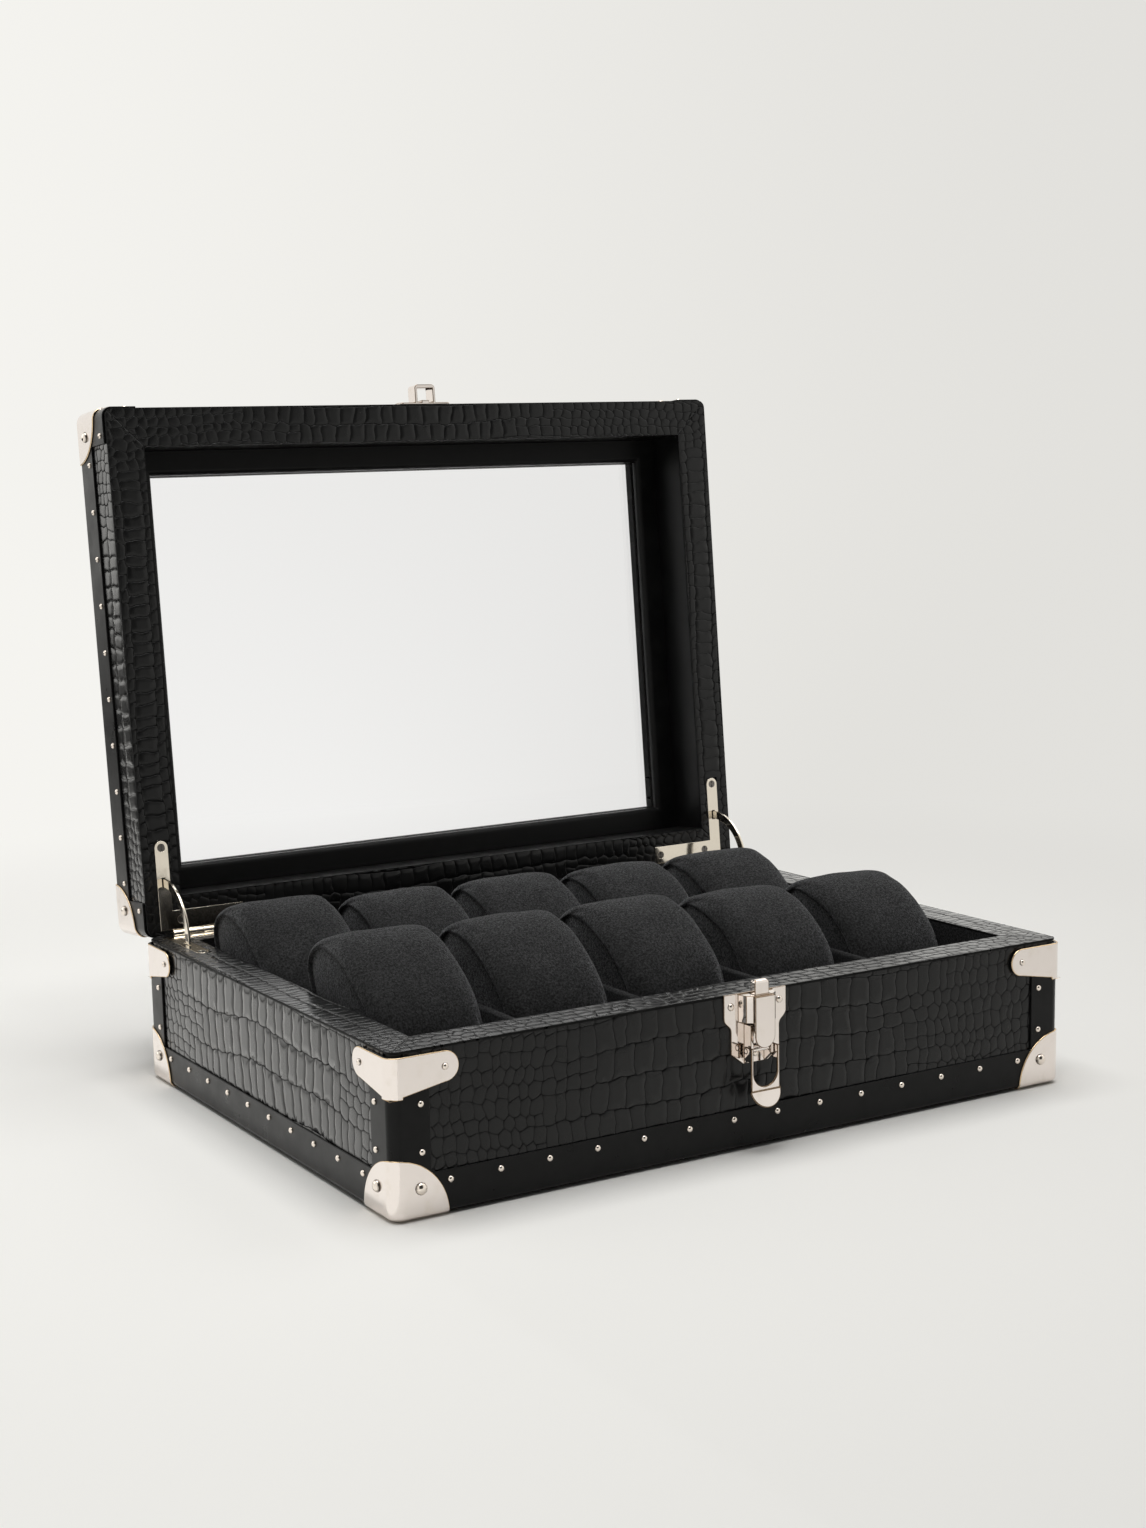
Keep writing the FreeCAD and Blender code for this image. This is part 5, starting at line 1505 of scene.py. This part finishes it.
@dataclass
class WatchCushions:
    """Ten padded rolls of suede with seamed ends.

    Attributes:
        length: Long way of the oval section.
        thick: Short way of the oval section.
        nose: Radius of the section's ends.
        tilt: Slope of the section.
        around: Points round a section.
        stations: Half width and draw-in of each section, in mm, from the middle to the seam.
        seam: The same of the seam.
        panel: Share of the seam's section and half width, in mm, of the rings of an end panel.
        arc_steps: Points on each of a section's arcs, before they are spaced evenly.
        rest_share: Points lower than this share of the thickness are held by the rest.
        swell: How far the cloth may move.
        pressure: Of the filling.
        trial_scale: Enlargement for the cloth's trial.
        frames: Steps of the trial.
        quality: Steps of the cloth solver in each.
        mass: Of the cloth's points.
        stretched: How much further the fuller cushions reach up their slope, by node.
        seed: Of the first cushion's creases.
        dents: Waves of the dents, in mm. The first two are multiplied and the last is added.
        puckers: Waves of the puckers, by the turn round the section.
        dent: Depth of the dents, in mm.
        pucker: Depth of the puckers.
        sag: How far the cloth sinks.
        pucker_place: Half width at which the puckers are deepest.
        pucker_spread: Width of the puckers.
        rest_height: Height over the rest at which the creases are whole.
    """

    length: float = 80.0 * MM
    thick: float = 48.0 * MM
    nose: float = 17.0 * MM
    tilt: float = math.radians(36.0)
    around: int = 52
    stations: tuple[Pair, ...] = (
        (0.0, 0.3),
        (5.0, 0.3),
        (10.0, 0.35),
        (15.0, 0.45),
        (19.0, 0.6),
        (22.0, 0.85),
        (24.2, 1.25),
        (25.8, 1.9),
        (26.8, 2.9),
        (27.0, 4.0),
        (26.5, 4.9),
    )
    seam: Pair = (25.2, 5.5)
    panel: tuple[Pair, ...] = ((0.94, 25.6), (0.82, 26.1), (0.62, 26.4), (0.38, 26.5), (0.15, 26.5))
    arc_steps: int = 400
    rest_share: float = 0.44
    swell: float = 3.2 * MM
    pressure: float = 16.0
    trial_scale: float = 10.0
    frames: int = 20
    quality: int = 6
    mass: float = 0.3
    stretched: dict[str, float] = field(
        default_factory=lambda: {
            "cushion_front_1": 6.8 * MM,
            "cushion_front_2": 5.0 * MM,
            "cushion_front_3": 4.0 * MM,
            "cushion_back_1": 7.0 * MM,
            "cushion_back_2": 2.5 * MM,
            "cushion_back_3": 2.0 * MM,
        }
    )
    seed: int = 40
    dents: tuple[Ripple, Ripple, Ripple] = (
        Ripple(1.0, 0.16, 0.0),
        Ripple(1.0, 0.0, 0.13),
        Ripple(0.6, 0.31, -0.2),
    )
    puckers: tuple[Ripple, Ripple] = (Ripple(1.0, 31.0, 0.0), Ripple(0.7, 47.0, 0.0))
    dent: float = 0.22
    pucker: float = 0.13
    sag: float = 0.25
    pucker_place: float = 24.0
    pucker_spread: float = 2.6
    rest_height: float = 8.0

    def build(self, frame: Frame, finishes: Finishes) -> None:
        """Builds the cushions, blown up once as cloth and then creased one by one."""
        points, faces, held = self._form()
        points = self._inflate(points, faces, held)
        names = sorted(node for node, slot in frame.slot_of.items() if slot is Slot.CUSHION)
        for number, name in enumerate(names):
            mesh = bpy.data.meshes.new(f"{name}_suede")
            creased = self._crease(points, number)
            upper = np.clip(creased[:, 1] / self.nose + 0.5, 0.0, 1.0)
            creased[:, 1] += self.stretched.get(name, 0.0) * upper
            low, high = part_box(name)
            middle = Matrix.Translation((low + high) / 2.0) @ Matrix.Rotation(self.tilt, 4, "X")
            mesh.from_pydata([middle @ Vector(point) for point in creased], [], faces)
            mesh.materials.append(finishes[Slot.CUSHION])
            mesh.shade_smooth()
            piece = shown(f"{name}_suede", mesh)
            rounder = piece.modifiers.new("rounder", "SUBSURF")
            rounder.levels = rounder.render_levels = 1
            baked(piece)
            frame.settle(piece, name)

    def _section(self, draw: float) -> np.ndarray:
        """Points round the oval section drawn in by some length, in the cushion's own y and z."""
        a, b, nose = self.length / 2 - draw, self.thick / 2 - draw, self.nose - draw
        flat = ((a - nose) ** 2 + b * b - nose * nose) / (2.0 * (b - nose))
        lean = math.atan2(flat - b, a - nose)
        angles = np.linspace(-lean, lean, self.arc_steps)
        nose_arc = np.stack((a - nose + nose * np.cos(angles), nose * np.sin(angles)), axis=1)
        turn = np.linspace(lean, math.pi - lean, self.arc_steps)
        flat_arc = np.stack((flat * np.cos(turn), b - flat + flat * np.sin(turn)), axis=1)
        ring = np.vstack((nose_arc, flat_arc, -nose_arc, -flat_arc))
        closed = np.vstack((ring, ring[:1]))
        gaps = np.linalg.norm(np.diff(closed, axis=0), axis=1)
        run = np.concatenate(((0.0,), np.cumsum(gaps)))
        wanted = np.linspace(0.0, run[-1], self.around, endpoint=False)
        return np.stack([np.interp(wanted, run, closed[:, axis]) for axis in (0, 1)], axis=1)

    def _form(self) -> tuple[np.ndarray, Faces, list[int]]:
        """The cushion before it is blown up.

        Returns:
            Its points, its faces, and the points that the seams and the rest hold.
        """
        half = [(x * MM, self._section(draw * MM)) for x, draw in self.stations]
        seam_x, seam_draw = self.seam
        seam_ring = self._section(seam_draw * MM)
        half.append((seam_x * MM, seam_ring))
        half.extend((x * MM, seam_ring * share) for share, x in self.panel)
        rings = [(-x, ring) for x, ring in reversed(half[1:])] + half
        points = np.vstack([np.column_stack((np.full(self.around, x), ring)) for x, ring in rings])
        faces: Faces = []
        for index in range(len(rings) - 1):
            for step in range(self.around):
                after = (step + 1) % self.around
                low, high = index * self.around, (index + 1) * self.around
                faces.append((low + step, low + after, high + after, high + step))
        tips = np.array(((-self.panel[-1][1] * MM, 0.0, 0.0), (self.panel[-1][1] * MM, 0.0, 0.0)))
        left, right = len(points), len(points) + 1
        last = (len(rings) - 1) * self.around
        for step in range(self.around):
            after = (step + 1) % self.around
            faces.append((after, step, left))
            faces.append((last + step, last + after, right))
        points = np.vstack((points, tips))
        seam_rows = (len(self.panel), len(rings) - 1 - len(self.panel))
        held = {row * self.around + step for row in seam_rows for step in range(self.around)}
        held |= {index for index, point in enumerate(points) if point[2] < -self.rest_share * self.thick}
        return points, faces, sorted(held)

    def _inflate(self, points: np.ndarray, faces: Faces, held: list[int]) -> np.ndarray:
        """Blows the cushion up as cloth, held at its seams and underside.

        Args:
            points: The form's points.
            faces: Its faces.
            held: The points that stay.

        Returns:
            The points after the cloth has settled, moved by at most the swell.
        """
        mesh = bpy.data.meshes.new("cushion_trial")
        mesh.from_pydata((points * self.trial_scale).tolist(), [], faces)
        trial = shown("cushion_trial", mesh)
        group = trial.vertex_groups.new(name="held")
        group.add(held, 1.0, "REPLACE")
        cloth = trial.modifiers.new("cloth", "CLOTH")
        settings = cloth.settings
        settings.quality = self.quality
        settings.mass = self.mass
        settings.vertex_group_mass = "held"
        settings.use_pressure = True
        settings.uniform_pressure_force = self.pressure
        settings.effector_weights.gravity = 0.0
        cloth.point_cache.frame_end = self.frames
        scene = bpy.context.scene
        for number in range(1, self.frames + 1):
            scene.frame_set(number)
        evaluated = trial.evaluated_get(bpy.context.evaluated_depsgraph_get())
        blown = np.array([vertex.co[:] for vertex in evaluated.data.vertices]) / self.trial_scale
        scene.frame_set(1)
        bpy.data.objects.remove(trial)
        moves = blown - points
        far = np.linalg.norm(moves, axis=1)
        LOG.info("cushion cloth moved by up to %.2f mm, mean %.2f", far.max() / MM, far.mean() / MM)
        limit = np.minimum(1.0, self.swell / np.maximum(far, TINY))
        return points + moves * limit[:, None]

    def _crease(self, points: np.ndarray, number: int) -> np.ndarray:
        """Gives one cushion its own soft dents, small puckers at its seams and a sag."""
        draw = np.random.default_rng(self.seed + number)
        waves = self.dents + self.puckers
        phases = draw.uniform(0.0, 2.0 * math.pi, len(waves))
        across, along, slant, *rings = (replace(wave, phase=turn) for wave, turn in zip(waves, phases))
        x, y, z = (points[:, axis] / MM for axis in range(3))
        deep, tall = self.length / 2 / MM, self.thick / 2 / MM
        out = np.column_stack((np.zeros(len(points)), y / deep**2, z / tall**2))
        out /= np.maximum(np.linalg.norm(out, axis=1), TINY)[:, None]
        dents = across.at(x, y) * along.at(x, y) + slant.at(x, y)
        turn = np.arctan2(z / tall, y / deep)
        near_seam = np.exp(-(((np.abs(x) - self.pucker_place) / self.pucker_spread) ** 2))
        puckers = near_seam * sum(ring.at(turn, 0.0) for ring in rings)
        free = np.clip((z + tall) / self.rest_height, 0.0, 1.0)
        shift = (self.dent * dents + self.pucker * puckers - self.sag) * free
        return points + out * (shift * MM)[:, None]


@dataclass
class PlainParts:
    """CAD pieces that keep their form and take a finish."""

    nodes: tuple[str, ...] = (
        "base_carcass",
        "lid_frame",
        "base_underside",
        "base_floor_lining",
        "cushion_rests",
        "hinge_pin_left",
        "hinge_pin_right",
        "hinge_base_screws",
        "hinge_lid_screws",
        "lever_pivot",
        "glass_pane",
    )

    def build(self, frame: Frame, finishes: Finishes) -> None:
        """Gives each node its slot's finish."""
        for node in self.nodes:
            frame.nodes[node].material_slots[0].material = finishes[frame.slot_of[node]]
        frame.nodes["glass_pane"].visible_shadow = False


@dataclass(frozen=True)
class Lamp:
    """A square area light.

    Attributes:
        name: The lamp's name.
        spot: Its place in metres.
        aim: Where it shines.
        size: Length of its sides.
        power: Its power in watts.
    """

    name: str
    spot: Place
    aim: Place
    size: float
    power: float


@dataclass(frozen=True)
class Card:
    """A glowing card on the floor, beside the box, that only reflections show: a painted reflection.

    Attributes:
        name: The card's name.
        low: Its lowest x and y in metres.
        high: Its highest x and y.
        level: How bright it is.
    """

    name: str
    low: Pair
    high: Pair
    level: float


def rectangle(name: str, low: Pair, high: Pair, level: float) -> bpy.types.Mesh:
    """A level rectangle between its lowest and highest x and y."""
    mesh = bpy.data.meshes.new(name)
    corners = ((low[0], low[1]), (high[0], low[1]), (high[0], high[1]), (low[0], high[1]))
    mesh.from_pydata([(x, y, level) for x, y in corners], [], [(0, 1, 2, 3)])
    return mesh


@dataclass
class Studio:
    """The pale floor and backdrop, the soft lights and the photograph's camera.

    Attributes:
        spot: The camera's place in metres.
        yaw: Its turn from looking along +Y, in degrees.
        pitch: How far it looks down.
        roll: How far it leans.
        focal: Focal length in pixels of the photograph.
        sensor: The camera's sensor in mm, along the photograph's height.
        middle: The lens axis in the photograph, in pixels.
        frame_size: The photograph's size in pixels.
        bright: Backdrop colour on the left.
        dull: Backdrop colour on the right, a painted falloff of the light from the left.
        dark: Colour of the dark that mirrors show.
        light: Colour of the even light.
        ambient: Strength of the even light.
        dark_way: Direction of the dark that mirrors show.
        seen_limits: Where the backdrop turns from bright to dull, across the picture.
        mirrored_limits: Where it turns from bright to dark, towards the dark's direction.
        floor_limits: Where the floor's own colour turns from bright to dull, in metres across the picture: a
            painted falloff of the light.
        fade: Where the floor turns into the backdrop, in metres from the box.
        floor_reach: How far the floor goes, in metres.
        floor_level: Height of the floor.
        card_level: Height of the cards.
        lamps: One large soft lamp above, and weak ones behind on the left and on the right.
        cards: Painted reflections beside the box, glowing cards that only mirrors show.
    """

    spot: Place = (-0.55877, -0.88365, 0.30275)
    yaw: float = -29.39
    pitch: float = 9.36
    roll: float = -1.52
    focal: float = 2188.48
    sensor: float = 36.0
    middle: Pair = (480.0, 820.0)
    frame_size: Pair = (1146.0, 1528.0)
    # Painted falloff of the light: the floor and backdrop colours grow duller from left to right.
    bright: Colour = (0.915, 0.905, 0.87)
    dull: Colour = (0.76, 0.75, 0.72)
    dark: Colour = grey(0.04)
    light: Colour = (1.0, 0.995, 0.985)
    ambient: float = 0.1
    dark_way: Place = (-0.1, -0.87, 0.48)
    seen_limits: Pair = (-0.3, 0.32)
    mirrored_limits: Pair = (0.72, 0.93)
    floor_limits: Pair = (-0.7, 0.8)
    fade: Pair = (0.35, 0.9)
    floor_reach: float = 60.0
    floor_level: float = -0.2 * MM
    card_level: float = 0.1 * MM
    lamps: tuple[Lamp, ...] = (
        Lamp("key", (-0.1, 0.0, 1.9), (0.0, 0.0, 0.0), 1.4, 33.0),
        Lamp("back", (-1.1, 1.0, 0.9), (0.0, 0.0, 0.1), 1.2, 2.64),
        Lamp("right", (1.2, 0.1, 1.2), (0.0, 0.0, 0.05), 1.0, 3.96),
    )
    cards: tuple[Card, ...] = (
        # Painted reflections: a bright patch for the left walls to mirror, and a dark patch for the lid's
        # left side.
        Card("white_card", (-0.7, -0.9), (-0.19, 0.5), 1.08),
        Card("black_card", (-2.5, 0.55), (-0.42, 3.0), 0.02),
    )

    def build(self) -> None:
        """Sets up the camera, the world, the floor and the lights."""
        bpy.context.scene.view_settings.view_transform = "Standard"
        self._camera()
        self._world()
        self._floor()
        for lamp in self.lamps:
            self._lamp(lamp)
        for card in self.cards:
            self._card(card)

    def _axes(self) -> tuple[Vector, Vector, Vector]:
        """The camera's right, up and back directions."""
        yaw, pitch, roll = (math.radians(angle) for angle in (self.yaw, self.pitch, self.roll))
        back = Vector((math.sin(yaw) * math.cos(pitch), -math.cos(yaw) * math.cos(pitch), math.sin(pitch)))
        right = Vector((math.cos(yaw), math.sin(yaw), 0.0))
        up = back.cross(right)
        leant = right * math.cos(roll) + up * math.sin(roll)
        return leant, up * math.cos(roll) - right * math.sin(roll), back

    def _camera(self) -> None:
        """The photograph's camera."""
        data = bpy.data.cameras.new("camera")
        width, height = self.frame_size
        data.sensor_width = self.sensor
        data.lens = self.sensor * self.focal / height
        data.shift_x = (width / 2.0 - self.middle[0]) / height
        data.shift_y = (self.middle[1] - height / 2.0) / height
        data.clip_start = 0.05
        camera = bpy.data.objects.new("camera", data)
        axes = Matrix(self._axes()).transposed().to_4x4()
        camera.matrix_world = Matrix.Translation(Vector(self.spot)) @ axes
        bpy.context.scene.collection.objects.link(camera)
        bpy.context.scene.camera = camera

    def _world(self) -> None:
        """Even light for the object, the backdrop's colours where it is seen, and a painted reflection where
        it is mirrored: the backdrop turning to a dark patch.
        """
        world = bpy.data.worlds.new("studio")
        bpy.context.scene.world = world
        world.use_nodes = True
        graph = NodeGraph(world.node_tree)
        graph.tree.nodes.clear()
        way = graph.add("ShaderNodeTexCoord").outputs["Generated"]
        seen = graph.ramp(way, self._axes()[0], self.seen_limits, self.bright, self.dull)
        dark_way = Vector(self.dark_way).normalized()
        # Painted reflection: mirrors see the bright backdrop and a dark patch, far brighter than the even
        # light.
        mirrored = graph.ramp(way, dark_way, self.mirrored_limits, self.bright, self.dark)
        light, backdrop, mirror = (
            graph.add("ShaderNodeBackground", Color=colour, Strength=strength).outputs[0]
            for colour, strength in (((*self.light, 1.0), self.ambient), (seen, 1.0), (mirrored, 1.0))
        )
        paths = graph.add("ShaderNodeLightPath").outputs
        direct = graph.combine("MAXIMUM", paths["Is Camera Ray"], paths["Is Transmission Ray"])
        final = graph.mix(direct, graph.mix(paths["Is Glossy Ray"], light, mirror), backdrop)
        graph.add("ShaderNodeOutputWorld", Surface=final)

    def _floor(self) -> None:
        """A wide floor that takes the shadow near the box and fades into the backdrop."""
        reach = self.floor_reach
        mesh = rectangle("floor", (-reach, -reach), (reach, reach), self.floor_level)
        tree = ShaderTree("floor")
        right = self._axes()[0]
        # Painted falloff: the floor's own colour grows duller from left to right across the picture.
        near = tree.ramp(tree.place, right, self.floor_limits, self.bright, self.dull)
        tree.surface(Base_Color=near, Roughness=0.9, Specular_IOR_Level=0.1)
        way = tree.join("ShaderNodeVectorMath", "NORMALIZE", tree.place).outputs["Vector"]
        backdrop = tree.ramp(way, right, self.seen_limits, self.bright, self.dull)
        glow = tree.add("ShaderNodeEmission", Color=backdrop).outputs[0]
        far = tree.join("ShaderNodeVectorMath", "LENGTH", tree.place).outputs["Value"]
        tree.output(tree.mix(tree.remap(far, *self.fade, kind="SMOOTHSTEP"), tree.skin.outputs[0], glow))
        mesh.materials.append(tree.material)
        shown("floor", mesh)

    def _card(self, card: Card) -> None:
        """Lays down a glowing card, a painted reflection that only mirrors show."""
        mesh = rectangle(card.name, card.low, card.high, self.card_level)
        tree = ShaderTree(card.name)
        glow = tree.add("ShaderNodeEmission", Color=(*self.bright, 1.0), Strength=card.level)
        tree.output(glow.outputs[0])
        mesh.materials.append(tree.material)
        piece = shown(card.name, mesh)
        piece.visible_camera = piece.visible_diffuse = False
        piece.visible_transmission = piece.visible_shadow = False

    @staticmethod
    def _lamp(lamp: Lamp) -> None:
        """Hangs a lamp up."""
        data = bpy.data.lights.new(lamp.name, "AREA")
        data.shape = "SQUARE"
        data.size = lamp.size
        data.energy = lamp.power
        spot = Vector(lamp.spot)
        turn = (Vector(lamp.aim) - spot).to_track_quat("-Z", "Y").to_matrix().to_4x4()
        piece = bpy.data.objects.new(lamp.name, data)
        piece.matrix_world = Matrix.Translation(spot) @ turn
        piece.visible_camera = False
        bpy.context.scene.collection.objects.link(piece)


def main() -> None:
    """Dresses the frame and sets the studio."""
    logging.basicConfig(level=logging.INFO, format="%(name)s: %(message)s")
    frame = Frame()
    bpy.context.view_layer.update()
    finishes = Finishes()
    for part in (PlainParts(), SoftenedParts(), LeatherCover(), DomedHeads(), WatchCushions()):
        part.build(frame, finishes)
        LOG.info("built %s", type(part).__name__)
    Studio().build()


if __name__ == "__main__":
    main()
